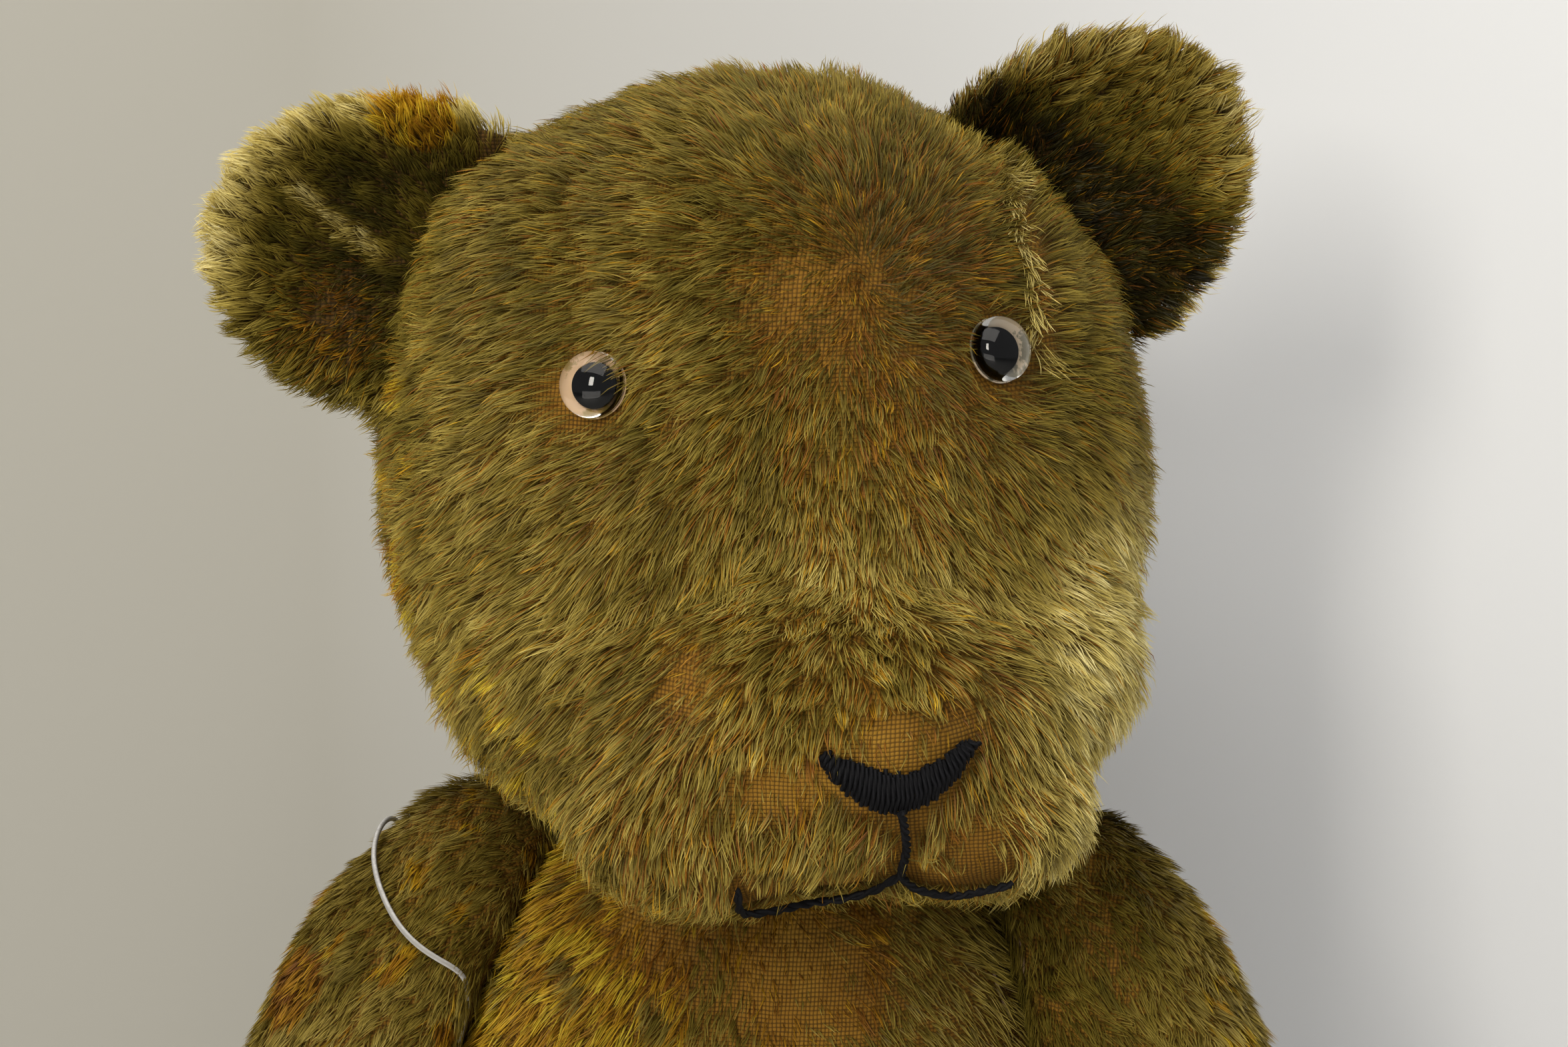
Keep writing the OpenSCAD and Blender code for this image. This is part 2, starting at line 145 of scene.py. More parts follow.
def ramp(tree, stops, source=None, interpolation="LINEAR"):
    n = tree.nodes.new("ShaderNodeValToRGB")
    n.color_ramp.interpolation = interpolation
    while len(n.color_ramp.elements) < len(stops):
        n.color_ramp.elements.new(0.5)
    for element, (at, colour) in zip(n.color_ramp.elements, stops):
        element.position = at
        element.color = colour if len(colour) == 4 else (*colour, 1)
    if source is not None:
        tree.links.new(source, n.inputs[0])
    return n


def maths(tree, what, a, b=None, c=None):
    n = tree.nodes.new("ShaderNodeMath")
    n.operation = what
    for socket, value in zip(n.inputs, (a, b, c)):
        if value is None:
            continue
        if isinstance(value, (int, float)):
            socket.default_value = value
        else:
            tree.links.new(value, socket)
    return n.outputs[0]


def mix(tree, factor, a, b, blend="MIX"):
    n = tree.nodes.new("ShaderNodeMix")
    n.data_type = "RGBA"
    n.blend_type = blend
    for socket, value in ((n.inputs[0], factor), (n.inputs[6], a), (n.inputs[7], b)):
        if isinstance(value, (int, float)):
            socket.default_value = value
        elif isinstance(value, tuple):
            socket.default_value = (*value, 1)
        else:
            tree.links.new(value, socket)
    return n.outputs[2]


def bump(tree, height, strength, distance):
    n = tree.nodes.new("ShaderNodeBump")
    n.inputs["Strength"].default_value = strength
    n.inputs["Distance"].default_value = distance
    tree.links.new(height, n.inputs["Height"])
    return n.outputs["Normal"]


def noise(tree, **values):
    """A noise texture that stays with the piece, whatever its pose."""
    coords = tree.nodes.new("ShaderNodeTexCoord")
    texture = node(tree, "ShaderNodeTexNoise", **values)
    tree.links.new(coords.outputs["Object"], texture.inputs["Vector"])
    return texture


def place_group(tree, group, **values):
    n = tree.nodes.new("ShaderNodeGroup")
    n.node_tree = group
    for key, value in values.items():
        n.inputs[key.replace("_", " ")].default_value = value
    return n


def group_of(name, inputs, outputs):
    g = bpy.data.node_groups.new(name, "ShaderNodeTree")
    for label, kind, value in inputs:
        s = g.interface.new_socket(label, in_out="INPUT", socket_type=kind)
        if value is not None:
            s.default_value = value
    for label, kind in outputs:
        g.interface.new_socket(label, in_out="OUTPUT", socket_type=kind)
    return g, g.nodes.new("NodeGroupInput"), g.nodes.new("NodeGroupOutput")


def thread_weave_group():
    """Over-and-under threads in the plane the cloth faces: a height, and a mask that is 0 in the holes."""
    g, given, out = group_of(
        "thread_weave",
        [("Pitch", "NodeSocketFloat", 0.00075), ("Fray", "NodeSocketFloat", 0.3)],
        [("Height", "NodeSocketFloat"), ("Thread", "NodeSocketFloat")],
    )
    link = g.links.new
    coords = g.nodes.new("ShaderNodeTexCoord")
    wander = node(g, "ShaderNodeTexNoise", Scale=220.0, Detail=2.0)
    link(coords.outputs["Object"], wander.inputs["Vector"])
    offset = node(g, "ShaderNodeVectorMath", operation="MULTIPLY_ADD")
    link(wander.outputs["Color"], offset.inputs[0])
    offset.inputs[1].default_value = (0.0006, 0.0006, 0.0006)
    link(coords.outputs["Object"], offset.inputs[2])
    place = g.nodes.new("ShaderNodeSeparateXYZ")
    link(offset.outputs[0], place.inputs[0])
    turn = maths(g, "DIVIDE", math.pi, given.outputs["Pitch"])
    waves = [maths(g, "SINE", maths(g, "MULTIPLY", place.outputs[i], turn)) for i in range(3)]
    facing = g.nodes.new("ShaderNodeNewGeometry")
    face = g.nodes.new("ShaderNodeSeparateXYZ")
    link(facing.outputs["Normal"], face.inputs[0])
    total = None
    for a, b, flat in ((1, 2, 0), (0, 2, 1), (0, 1, 2)):
        checker = maths(g, "MULTIPLY", waves[a], waves[b])
        ridge = maths(g, "ABSOLUTE", checker)
        share = maths(g, "POWER", maths(g, "ABSOLUTE", face.outputs[flat]), 3.0)
        part = maths(g, "MULTIPLY", ridge, share)
        total = part if total is None else maths(g, "ADD", total, part)
    link(total, out.inputs["Height"])
    frayed = maths(g, "MULTIPLY", wander.outputs["Fac"], given.outputs["Fray"])
    covered = maths(g, "ADD", maths(g, "MULTIPLY", total, 1.6), frayed)
    link(maths(g, "MINIMUM", covered, 1.0), out.inputs["Thread"])
    return g


def mohair_shades_group():
    """The colours a pile strand may have: across the map go the dye shades, up it root to tip, from painted shade
    at the root to a painted highlight at the tip.
    """
    g, _, out = group_of("mohair_shades", [], [("Color", "NodeSocketColor")])
    where = node(g, "ShaderNodeUVMap", uv_map="OFBake")
    axes = g.nodes.new("ShaderNodeSeparateXYZ")
    g.links.new(where.outputs[0], axes.inputs[0])
    shade = ramp(g, [
        (0.00, (0.024, 0.020, 0.004)),
        (0.12, (0.072, 0.062, 0.010)),
        (0.26, (0.160, 0.126, 0.016)),
        (0.40, (0.265, 0.195, 0.028)),
        (0.55, (0.410, 0.310, 0.060)),
        (0.70, (0.590, 0.470, 0.130)),
        (0.78, (0.700, 0.590, 0.230)),
        (0.80, (0.250, 0.095, 0.010)),
        (0.88, (0.440, 0.220, 0.012)),
        (0.94, (0.600, 0.360, 0.016)),
        (1.00, (0.680, 0.520, 0.040)),
    ], axes.outputs[0])
    # painted shade and painted highlight: the root end is darkened as the shade down among the strands, the tip
    # end brightened past white and towards blue as a sheen
    light = ramp(g, [
        (0.00, (0.15, 0.12, 0.07)),
        (0.38, (0.50, 0.47, 0.40)),
        (0.75, (1.00, 1.00, 1.00)),
        (1.00, (1.45, 1.52, 1.85)),
    ], axes.outputs[1])
    g.links.new(mix(g, 1.0, shade.outputs[0], light.outputs[0], "MULTIPLY"), out.inputs["Color"])
    return g


WEAVE = thread_weave_group()
SHADES = mohair_shades_group()


def pile_material():
    m, tree, bsdf = new_material("mohair_pile", (0.35, 0.3, 0.12, 1))
    shades = place_group(tree, SHADES)
    tree.links.new(shades.outputs["Color"], bsdf.inputs["Base Color"])
    bsdf.inputs["Roughness"].default_value = 0.5
    bsdf.inputs["Specular IOR Level"].default_value = 0.16
    return m


def backing_material(name, dark, mid, pale, pitch=0.00075, bare=0.5):
    """The woven ground of the mohair cloth, with rubbed and stained places, and painted shade in the holes
    between its threads.
    """
    m, tree, bsdf = new_material(name, (*mid, 1))
    link = tree.links.new
    weave = place_group(tree, WEAVE, Pitch=pitch, Fray=0.35)
    stain = noise(tree, Scale=28.0, Detail=5.0, Roughness=0.6)
    tone = ramp(tree, [(0.30, dark), (0.52, mid), (0.74, pale)], stain.outputs["Fac"])
    fleck = noise(tree, Scale=1400.0, Detail=1.0)
    speckled = mix(tree, maths(tree, "MULTIPLY", fleck.outputs["Fac"], 0.35), tone.outputs[0], pale)
    # painted shade: the holes between the threads take a dark copy of the cloth colour, standing in for the shade
    # inside them
    threads = mix(tree, weave.outputs["Thread"], tuple(0.30 * c for c in dark), speckled)
    link(threads, bsdf.inputs["Base Color"])
    bsdf.inputs["Roughness"].default_value = 0.85
    bsdf.inputs["Specular IOR Level"].default_value = 0.2
    link(bump(tree, weave.outputs["Height"], bare, 0.0003), bsdf.inputs["Normal"])
    return m


def felt_material():
    m, tree, bsdf = new_material("worn_felt", (0.32, 0.22, 0.11, 1))
    link = tree.links.new
    fluff = noise(tree, Scale=900.0, Detail=6.0, Roughness=0.7)
    wear = noise(tree, Scale=45.0, Detail=4.0)
    worn = [(0.35, (0.085, 0.050, 0.018)), (0.5, (0.17, 0.105, 0.042)), (0.68, (0.25, 0.165, 0.075))]
    tone = ramp(tree, worn, wear.outputs["Fac"])
    nap = maths(tree, "MULTIPLY", fluff.outputs["Fac"], 0.4)
    link(mix(tree, nap, tone.outputs[0], (0.30, 0.215, 0.115)), bsdf.inputs["Base Color"])
    bsdf.inputs["Roughness"].default_value = 0.9
    bsdf.inputs["Sheen Weight"].default_value = 0.1
    link(bump(tree, fluff.outputs["Fac"], 0.6, 0.0004), bsdf.inputs["Normal"])
    return m


def thread_material(name, colour, gloss=0.45):
    """Twisted thread: its own map runs round it and along it, with painted shade in the twist's grooves and a
    painted highlight on its crests.
    """
    m, tree, bsdf = new_material(name, (*colour, 1))
    link = tree.links.new
    where = tree.nodes.new("ShaderNodeUVMap")
    axes = tree.nodes.new("ShaderNodeSeparateXYZ")
    link(where.outputs[0], axes.inputs[0])
    along = maths(tree, "ADD", axes.outputs[0], axes.outputs[1])
    twist = maths(tree, "SINE", maths(tree, "MULTIPLY", along, 2 * math.pi * 2))
    ply = maths(tree, "MULTIPLY_ADD", twist, 0.5, 0.5)
    lint = noise(tree, Scale=1600.0, Detail=3.0)
    # painted shade and painted highlight: the colour runs darker in the grooves of the twist and paler on its
    # crests, broken up by lint noise
    lint_and_crest_highlight = tuple(min(1.0, c * 1.8 + 0.006) for c in colour)
    darker = tuple(0.55 * c for c in colour)
    tone = mix(tree, maths(tree, "MULTIPLY", ply, lint.outputs["Fac"]), darker, lint_and_crest_highlight)
    link(tone, bsdf.inputs["Base Color"])
    bsdf.inputs["Roughness"].default_value = gloss
    bsdf.inputs["Specular IOR Level"].default_value = 0.18
    link(bump(tree, ply, 0.7, 0.0002), bsdf.inputs["Normal"])
    return m


def steel_material():
    m, tree, bsdf = new_material("dull_steel", (0.4, 0.4, 0.4, 1))
    rust = noise(tree, Scale=260.0, Detail=5.0)
    spots = [(0.42, (0.42, 0.41, 0.39)), (0.6, (0.30, 0.24, 0.18)), (0.72, (0.20, 0.09, 0.035))]
    tone = ramp(tree, spots, rust.outputs["Fac"])
    tree.links.new(tone.outputs[0], bsdf.inputs["Base Color"])
    rough = ramp(tree, [(0.4, (0.32, 0.32, 0.32)), (0.7, (0.75, 0.75, 0.75))], rust.outputs["Fac"])
    tree.links.new(rough.outputs[0], bsdf.inputs["Roughness"])
    bsdf.inputs["Metallic"].default_value = 0.9
    return m


def board_material():
    m, tree, bsdf = new_material("pressed_hardboard", (0.22, 0.13, 0.06, 1))
    fibre = noise(tree, Scale=700.0, Detail=5.0, Roughness=0.65)
    tone = ramp(tree, [(0.35, (0.12, 0.065, 0.028)), (0.65, (0.30, 0.19, 0.09))], fibre.outputs["Fac"])
    tree.links.new(tone.outputs[0], bsdf.inputs["Base Color"])
    bsdf.inputs["Roughness"].default_value = 0.7
    tree.links.new(bump(tree, fibre.outputs["Fac"], 0.4, 0.0002), bsdf.inputs["Normal"])
    return m


def glass_material():
    m, _, bsdf = new_material("clear_eye_glass", (0.9, 0.9, 0.9, 1))
    bsdf.inputs["Base Color"].default_value = (0.97, 0.96, 0.92, 1)
    bsdf.inputs["Roughness"].default_value = 0.03
    bsdf.inputs["IOR"].default_value = 1.42
    bsdf.inputs["Specular IOR Level"].default_value = 0.25
    bsdf.inputs["Transmission Weight"].default_value = 1.0
    return m


def pupil_material():
    m, tree, bsdf = new_material("black_glass", (0.004, 0.004, 0.005, 1))
    haze = noise(tree, Scale=900.0, Detail=2.0)
    tone = ramp(tree, [(0.3, (0.0004, 0.0004, 0.0004)), (0.8, (0.001, 0.001, 0.001))], haze.outputs["Fac"])
    tree.links.new(tone.outputs[0], bsdf.inputs["Base Color"])
    bsdf.inputs["Roughness"].default_value = 0.6
    bsdf.inputs["Specular IOR Level"].default_value = 0.0
    return m


def enamel_material(name, cream, under, chips):
    """Paint on the back of a glass eye, chipped through to the darker ground."""
    m, tree, bsdf = new_material(name, (*cream, 1))
    flake = noise(tree, Scale=520.0, Detail=4.0, Roughness=0.65)
    patch = noise(tree, Scale=150.0, Detail=1.0)
    halves = [maths(tree, "MULTIPLY", n.outputs["Fac"], 0.5) for n in (flake, patch)]
    both = maths(tree, "ADD", *halves)
    tone = ramp(tree, [(chips - 0.02, under), (chips + 0.015, cream)], both)
    tree.links.new(tone.outputs[0], bsdf.inputs["Base Color"])
    bsdf.inputs["Roughness"].default_value = 0.5
    return m


def plain_material(name, colour, scale, spread):
    m, tree, bsdf = new_material(name, (*colour, 1))
    cloud = noise(tree, Scale=scale, Detail=3.0)
    low = tuple(c * (1 - spread) for c in colour)
    high = tuple(min(1, c * (1 + spread)) for c in colour)
    tone = ramp(tree, [(0.3, low), (0.7, high)], cloud.outputs["Fac"])
    tree.links.new(tone.outputs[0], bsdf.inputs["Base Color"])
    bsdf.inputs["Roughness"].default_value = 0.9
    return m, tree, bsdf


PILE = pile_material()
BACKING = backing_material(
    "rust_backing", (0.100, 0.043, 0.004), (0.245, 0.112, 0.010), (0.390, 0.215, 0.026))
EAR_LINING = backing_material(
    "ear_backing", (0.030, 0.022, 0.004), (0.085, 0.045, 0.009), (0.170, 0.080, 0.014))
FELT = felt_material()
BLACK_THREAD = thread_material("black_thread", (0.0035, 0.0035, 0.005), 0.75)
BROWN_THREAD = thread_material("brown_thread", (0.10, 0.05, 0.02), 0.6)
STRING = thread_material("white_string", (0.62, 0.60, 0.56), 0.7)
STEEL = steel_material()
BOARD = board_material()
GLASS = glass_material()
PUPIL = pupil_material()
CREAM_RIGHT = enamel_material("cream_enamel", (0.70, 0.47, 0.28), (0.36, 0.24, 0.06), 0.46)
CREAM_LEFT = enamel_material("flaked_enamel", (0.62, 0.50, 0.36), (0.16, 0.14, 0.08), 0.53)


def room_pieces():
    wall, tree, bsdf = plain_material("pale_wall", (0.50, 0.49, 0.46), 3.0, 0.03)
    coords = tree.nodes.new("ShaderNodeTexCoord")
    axes = tree.nodes.new("ShaderNodeSeparateXYZ")
    tree.links.new(coords.outputs["Object"], axes.inputs[0])
    # painted light: the wall runs from darker and warmer on the left to brighter and bluer on the right, standing
    # in for how the studio light falls across it
    along = maths(tree, "MULTIPLY_ADD", axes.outputs[0], 1.4, 0.5)
    across = ramp(tree, [(0.30, (0.47, 0.46, 0.41)), (0.60, (0.90, 0.92, 0.94))], along)
    tree.links.new(across.outputs[0], bsdf.inputs["Base Color"])
    clear = tree.nodes.new("ShaderNodeBsdfTransparent")
    either = tree.nodes.new("ShaderNodeMixShader")
    behind = tree.nodes.new("ShaderNodeNewGeometry")
    tree.links.new(behind.outputs["Backfacing"], either.inputs[0])
    tree.links.new(bsdf.outputs[0], either.inputs[1])
    tree.links.new(clear.outputs[0], either.inputs[2])
    tree.links.new(either.outputs[0], tree.nodes["Material Output"].inputs["Surface"])
    floor, _, _ = plain_material("pale_floor", (0.55, 0.545, 0.54), 3.0, 0.03)
    for name, material, size, turn, at in (
        ("floor", floor, 3.0, Matrix.Identity(4), (0, 0, -0.0004)),
        ("wall", wall, 3.0, Matrix.Rotation(math.radians(90), 4, "X"), (0, 0.16, 1.2)),
    ):
        bm = bmesh.new()
        bmesh.ops.create_grid(bm, x_segments=4, y_segments=4, size=size, matrix=Matrix.Translation(at) @ turn)
        finished(bm, name, material, smooth=False)


# ---- mesh helpers ----

def finished(bm, name, material, smooth=True):
    mesh = bpy.data.meshes.new(name)
    bm.to_mesh(mesh)
    bm.free()
    o = bpy.data.objects.new(name, mesh)
    bpy.context.scene.collection.objects.link(o)
    mesh.materials.append(material)
    if smooth:
        mesh.shade_smooth()
    return o


def apply_modifiers(o):
    graph = bpy.context.evaluated_depsgraph_get()
    mesh = bpy.data.meshes.new_from_object(o.evaluated_get(graph))
    old = o.data
    o.modifiers.clear()
    o.data = mesh
    bpy.data.meshes.remove(old)


def remesh(o, voxel):
    m = o.modifiers.new("remesh", "REMESH")
    m.mode = "VOXEL"
    m.voxel_size = voxel
    m.use_smooth_shade = True
    apply_modifiers(o)


def edit(o, work):
    bm = bmesh.new()
    bm.from_mesh(o.data)
    work(bm)
    bm.to_mesh(o.data)
    bm.free()
    o.data.update()


def egg(bm, centre, radii, grow=0.0):
    size = Matrix.Diagonal((*[(r + grow) * MM for r in radii], 1))
    place = Matrix.Translation(Vector(centre) * MM) @ size
    bmesh.ops.create_uvsphere(bm, u_segments=56, v_segments=36, radius=1, matrix=place)


def cut_flat(o, point, normal):
    """Takes off everything beyond the plane and closes the cut."""
    def work(bm):
        made = bmesh.ops.bisect_plane(bm, geom=bm.verts[:] + bm.edges[:] + bm.faces[:], dist=1e-6,
                                      plane_co=point, plane_no=normal, clear_outer=True)
        rim = [e for e in made["geom_cut"] if isinstance(e, bmesh.types.BMEdge)]
        bmesh.ops.edgeloop_fill(bm, edges=rim)
    edit(o, work)


def smoothed(o, times):
    def work(bm):
        for _ in range(times):
            bmesh.ops.smooth_vert(
                bm, verts=bm.verts[:], factor=0.5, use_axis_x=True, use_axis_y=True, use_axis_z=True)
    edit(o, work)


def points_of(o):
    co = np.empty(len(o.data.vertices) * 3, np.float32)
    o.data.vertices.foreach_get("co", co)
    return co.reshape(-1, 3).astype(float)


def set_points(o, co):
    o.data.vertices.foreach_set("co", co.astype(np.float32).ravel())
    o.data.update()


def normals_of(o):
    n = np.empty(len(o.data.vertices) * 3, np.float32)
    o.data.vertex_normals.foreach_get("vector", n)
    return n.reshape(-1, 3).astype(float)


def stuff(o, pressure=4.0, most=0.004, frames=16):
    """Blows the closed skin up a little with a cloth simulation, as packed stuffing does."""
    before = points_of(o)
    m = o.modifiers.new("stuffing", "CLOTH")
    s = m.settings
    s.quality = 5
    s.mass = 0.3
    s.tension_stiffness = 12
    s.compression_stiffness = 12
    s.shear_stiffness = 6
    s.bending_stiffness = 1.5
    s.use_pressure = True
    s.uniform_pressure_force = pressure
    s.effector_weights.gravity = 0
    m.collision_settings.use_collision = False
    m.point_cache.frame_start, m.point_cache.frame_end = 1, frames
    scene = bpy.context.scene
    for f in range(1, frames + 1):
        scene.frame_set(f)
    apply_modifiers(o)
    scene.frame_set(1)
    moved = points_of(o) - before
    far = np.linalg.norm(moved, axis=1, keepdims=True)
    set_points(o, before + moved * np.minimum(1.0, most / np.maximum(far, 1e-9)))


def waves(p, size, seed, octaves=3):
    """Soft random mottle in -1..1 at points p, in metres, with lumps of about the given size."""
    rng = np.random.default_rng(seed)
    total = np.zeros(len(p))
    weight, reach = 1.0, size
    for _ in range(octaves):
        layer = np.zeros(len(p))
        for _ in range(5):
            way = rng.normal(size=3)
            way /= np.linalg.norm(way)
            phase = p @ way * (2 * math.pi / reach) * rng.uniform(0.7, 1.4)
            layer += np.sin(phase + rng.uniform(0, 2 * math.pi))
        total += weight * layer / 2.4
        weight *= 0.5
        reach *= 0.5
    return np.clip(total / 1.75, -1, 1)


def near(p, centre, reach):
    """1 at the centre, falling to 0 at about the reach, all in millimetres."""
    d = np.linalg.norm((p - np.array(centre)) / np.array(reach), axis=1)
    return np.clip(1 - d, 0, 1) ** 2 * (3 - 2 * np.clip(1 - d, 0, 1))


def unit(v):
    return v / np.maximum(np.linalg.norm(v, axis=1, keepdims=True), 1e-9)


def lumpy(o, depth, size, seed):
    """Wood wool packs unevenly, and the cloth shows it."""
    co, n = points_of(o), normals_of(o)
    set_points(o, co + n * (waves(co, size, seed) * depth)[:, None])


def subdivided(o, levels=1):
    m = o.modifiers.new("fine", "SUBSURF")
    m.levels = m.render_levels = levels
    apply_modifiers(o)


def moved(o, place):
    o.data.transform(place)
    if place.determinant() < 0:
        o.data.flip_normals()
    o.data.update()


# ---- stuffed skins ----

def skin(name, eggs, flats, voxel, smooth, grow=0.0):
    bm = bmesh.new()
    for centre, radii in eggs:
        egg(bm, centre, radii, grow)
    o = finished(bm, name, BACKING)
    remesh(o, voxel)
    for point, normal in flats:
        cut_flat(o, Vector(point) * MM, Vector(normal))
    remesh(o, voxel)
    smoothed(o, smooth)
    return o


def head_skin():
    bm = bmesh.new()
    for centre, radii in (
        ((0, 2, 62), (73.5, 62, 75)),
        ((0, -41, 27), (45, 47, 32)),
        ((1, -24, 31), (65, 46, 36)),
        ((22, -54, 13), (25, 30, 17)),
        ((-22, -54, 13), (25, 30, 17)),
    ):
        egg(bm, centre, radii)
    o = finished(bm, "head_cloth", BACKING)
    remesh(o, 0.0035)
    co = points_of(o)
    under = 0.0006 - 0.006 * np.clip((-co[:, 1] - 0.032) / 0.016, 0, 1)
    co[:, 2] = np.maximum(co[:, 2], under)
    set_points(o, co)
    smoothed(o, 7)
    co = points_of(o)
    mm = co / MM
    n = normals_of(o)
    push = sum(-2.2 * near(mm, eye, (15, 20, 14)) for eye in EYES)
    push += 6.0 * near(mm, (-50, 0, 112), (40, 60, 36))
    crown = np.clip((mm[:, 2] - 88) / 8, 0, 1)
    fore = crown * (mm[:, 1] < 10)
    push += -1.8 * np.exp(-((mm[:, 0] - 40) / 2.6) ** 2) * fore
    push += 2.2 * np.exp(-((mm[:, 0] - 45) / 4.0) ** 2) * fore
    push += -1.6 * np.exp(-((mm[:, 0] + 38) / 2.6) ** 2) * crown
    push += -2.6 * near(mm, (48, -42, 70), (8, 20, 32))
    push += -2.2 * near(mm, (8, -84, 6), (7, 16, 17))
    push += -1.5 * near(mm, (-30, -74, 34), (14, 20, 14)) + 1.2 * near(mm, (6, -86, 36), (16, 16, 12))
    set_points(o, co + n * (push * MM)[:, None])
    smoothed(o, 1)
    lumpy(o, 0.0010, 0.045, SEED)
    subdivided(o)
    return o


def torso_skin():
    o = skin("torso_cloth", [((0, -3, 76), (66, 62, 92)), ((0, 0, 118), (67, 54, 88))],
             [((0, 0, 0.6), (0, 0, -1)), ((0, 0, 199.6), (0, 0, 1))], 0.005, 5, -2.0)
    stuff(o, 3.0, 0.003)
    co = points_of(o)
    n = normals_of(o)
    groove = np.exp(-(co[:, 0] / 0.0028) ** 2) * 0.0016
    for joint, lean in ((SHOULDER, -ARM_SPLAY), (HIP, HIP_LEAN)):
        for s in (-1, 1):
            out = np.array([s * math.cos(lean), 0, math.sin(-lean)])
            at = np.array([s * joint.x, joint.y, joint.z])
            over = (co - at) @ out + 0.0012
            co = co - np.maximum(over, 0)[:, None] * out
    co = co - n * groove[:, None]
    co[:, 2] = np.maximum(co[:, 2], 0.0006)
    co[:, 2] = np.minimum(co[:, 2], NECK.z - 0.0006)
    set_points(o, co)
    lumpy(o, 0.0005, 0.05, SEED + 1)
    subdivided(o)
    return o


def arm_skin(name, side):
    o = skin(name, [((9, 0, -28), (32, 28, 62)), ((9, 0, -87), (27, 23, 65)), ((9, -2, -126), (24, 24, 32))],
             [((0.6, 0, 0), (-1, 0, 0))], 0.004, 5, -1.6)
    stuff(o, 3.0, 0.003)
    co = points_of(o)
    n = normals_of(o)
    seam = np.exp(-((co[:, 0] - 0.020) / 0.0022) ** 2) * 0.0011
    co = co - n * seam[:, None]
    co[:, 0] = np.maximum(co[:, 0], 0.0006)
    set_points(o, co)
    lumpy(o, 0.0009, 0.038, SEED + 2 + (side > 0))
    subdivided(o)
    moved(o, arm_place(side))
    return o


def leg_skin(name, side):
    lift = -HIP.z / MM + 1 + 52
    thigh = ((8, -30, 0), (30, 72, 33))
    shin = ((8, -99.6, -4), (28, 69.7, 26.4))
    foot = ((8, -146, lift), (27, 32, 52))
    o = skin(name, [thigh, shin, foot],
             [((0.6, 0, 0), (-1, 0, 0)), ((0, -165, 0), (0, -1, 0))], 0.0045, 5, -1.6)
    stuff(o, 3.0, 0.003)
    co = points_of(o)
    n = normals_of(o)
    seam = np.exp(-((co[:, 0] - 0.019) / 0.0024) ** 2) * 0.0011
    co = co - n * seam[:, None]
    co[:, 0] = np.maximum(co[:, 0], 0.0006)
    co[:, 1] = np.maximum(co[:, 1], -0.1655)
    co[:, 2] = np.maximum(co[:, 2], -HIP.z + 0.0012)
    set_points(o, co)
    lumpy(o, 0.0008, 0.04, SEED + 4 + (side > 0))
    subdivided(o)
    moved(o, leg_place(side))
    return o


def felt_patch(name, body, place, flats):
    """A felt piece laid on part of a skin: the skin is cut back to it by flats, raised and thickened."""
    bm = bmesh.new()
    bm.from_mesh(body.data)
    bmesh.ops.transform(bm, matrix=place.inverted(), verts=bm.verts[:])
    for point, normal in flats:
        every = bm.verts[:] + bm.edges[:] + bm.faces[:]
        bmesh.ops.bisect_plane(bm, geom=every, plane_co=Vector(point) * MM, plane_no=normal, clear_outer=True)
    bmesh.ops.transform(bm, matrix=place, verts=bm.verts[:])
    o = finished(bm, name, FELT)
    thick = o.modifiers.new("thick", "SOLIDIFY")
    thick.thickness = 0.0012
    thick.offset = 1.0
    apply_modifiers(o)
    return o


def ear_place(side):
    seat, lean, out = (50, 48, 73) if side > 0 else (57, 75, 76)
    seat, lean = math.radians(seat), math.radians(lean)
    foot = Vector((out * math.sin(seat), 6, 62 + (out + 2) * math.cos(seat))) * MM
    turn = Matrix.Translation(foot) @ Matrix.Rotation(lean, 4, "Y")
    return HEAD_PLACE @ (Matrix.Identity(4) if side > 0 else MIRROR) @ turn


def ear_skin(name, side):
    """A half disc of cloth, cupped forwards, sewn edge-on to the crown."""
    bm = bmesh.new()
    egg(bm, (0, 0, 2), (30, 6.0, 38))
    o = finished(bm, name, EAR_LINING)
    remesh(o, 0.002)
    cut_flat(o, Vector((0, 0, -9)) * MM, Vector((0, 0, -1)))
    remesh(o, 0.002)
    smoothed(o, 3)
    co = points_of(o)
    mm = co / MM
    out = np.clip(np.hypot(mm[:, 0] / 30, np.maximum(mm[:, 2], 0) / 38), 0, 1.1)
    cup = 15.0 if side > 0 else 9.0
    mm[:, 1] += -cup * out ** 2.2 + 4.0
    hollow = (normals_of(o)[:, 1] < 0) * np.clip(1 - out ** 3, 0, 1)
    mm[:, 1] += 2.2 * hollow
    mm[:, 0] *= 1 - 0.05 * out
    set_points(o, mm * MM)
    subdivided(o)
    moved(o, ear_place(side))
    return o


EYES = tuple(tuple((HEAD_PLACE.inverted() @ ((low + high) / 2)) / MM)
             for low, high in (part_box("eye_glass_left"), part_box("eye_glass_right")))


# ---- mohair pile ----

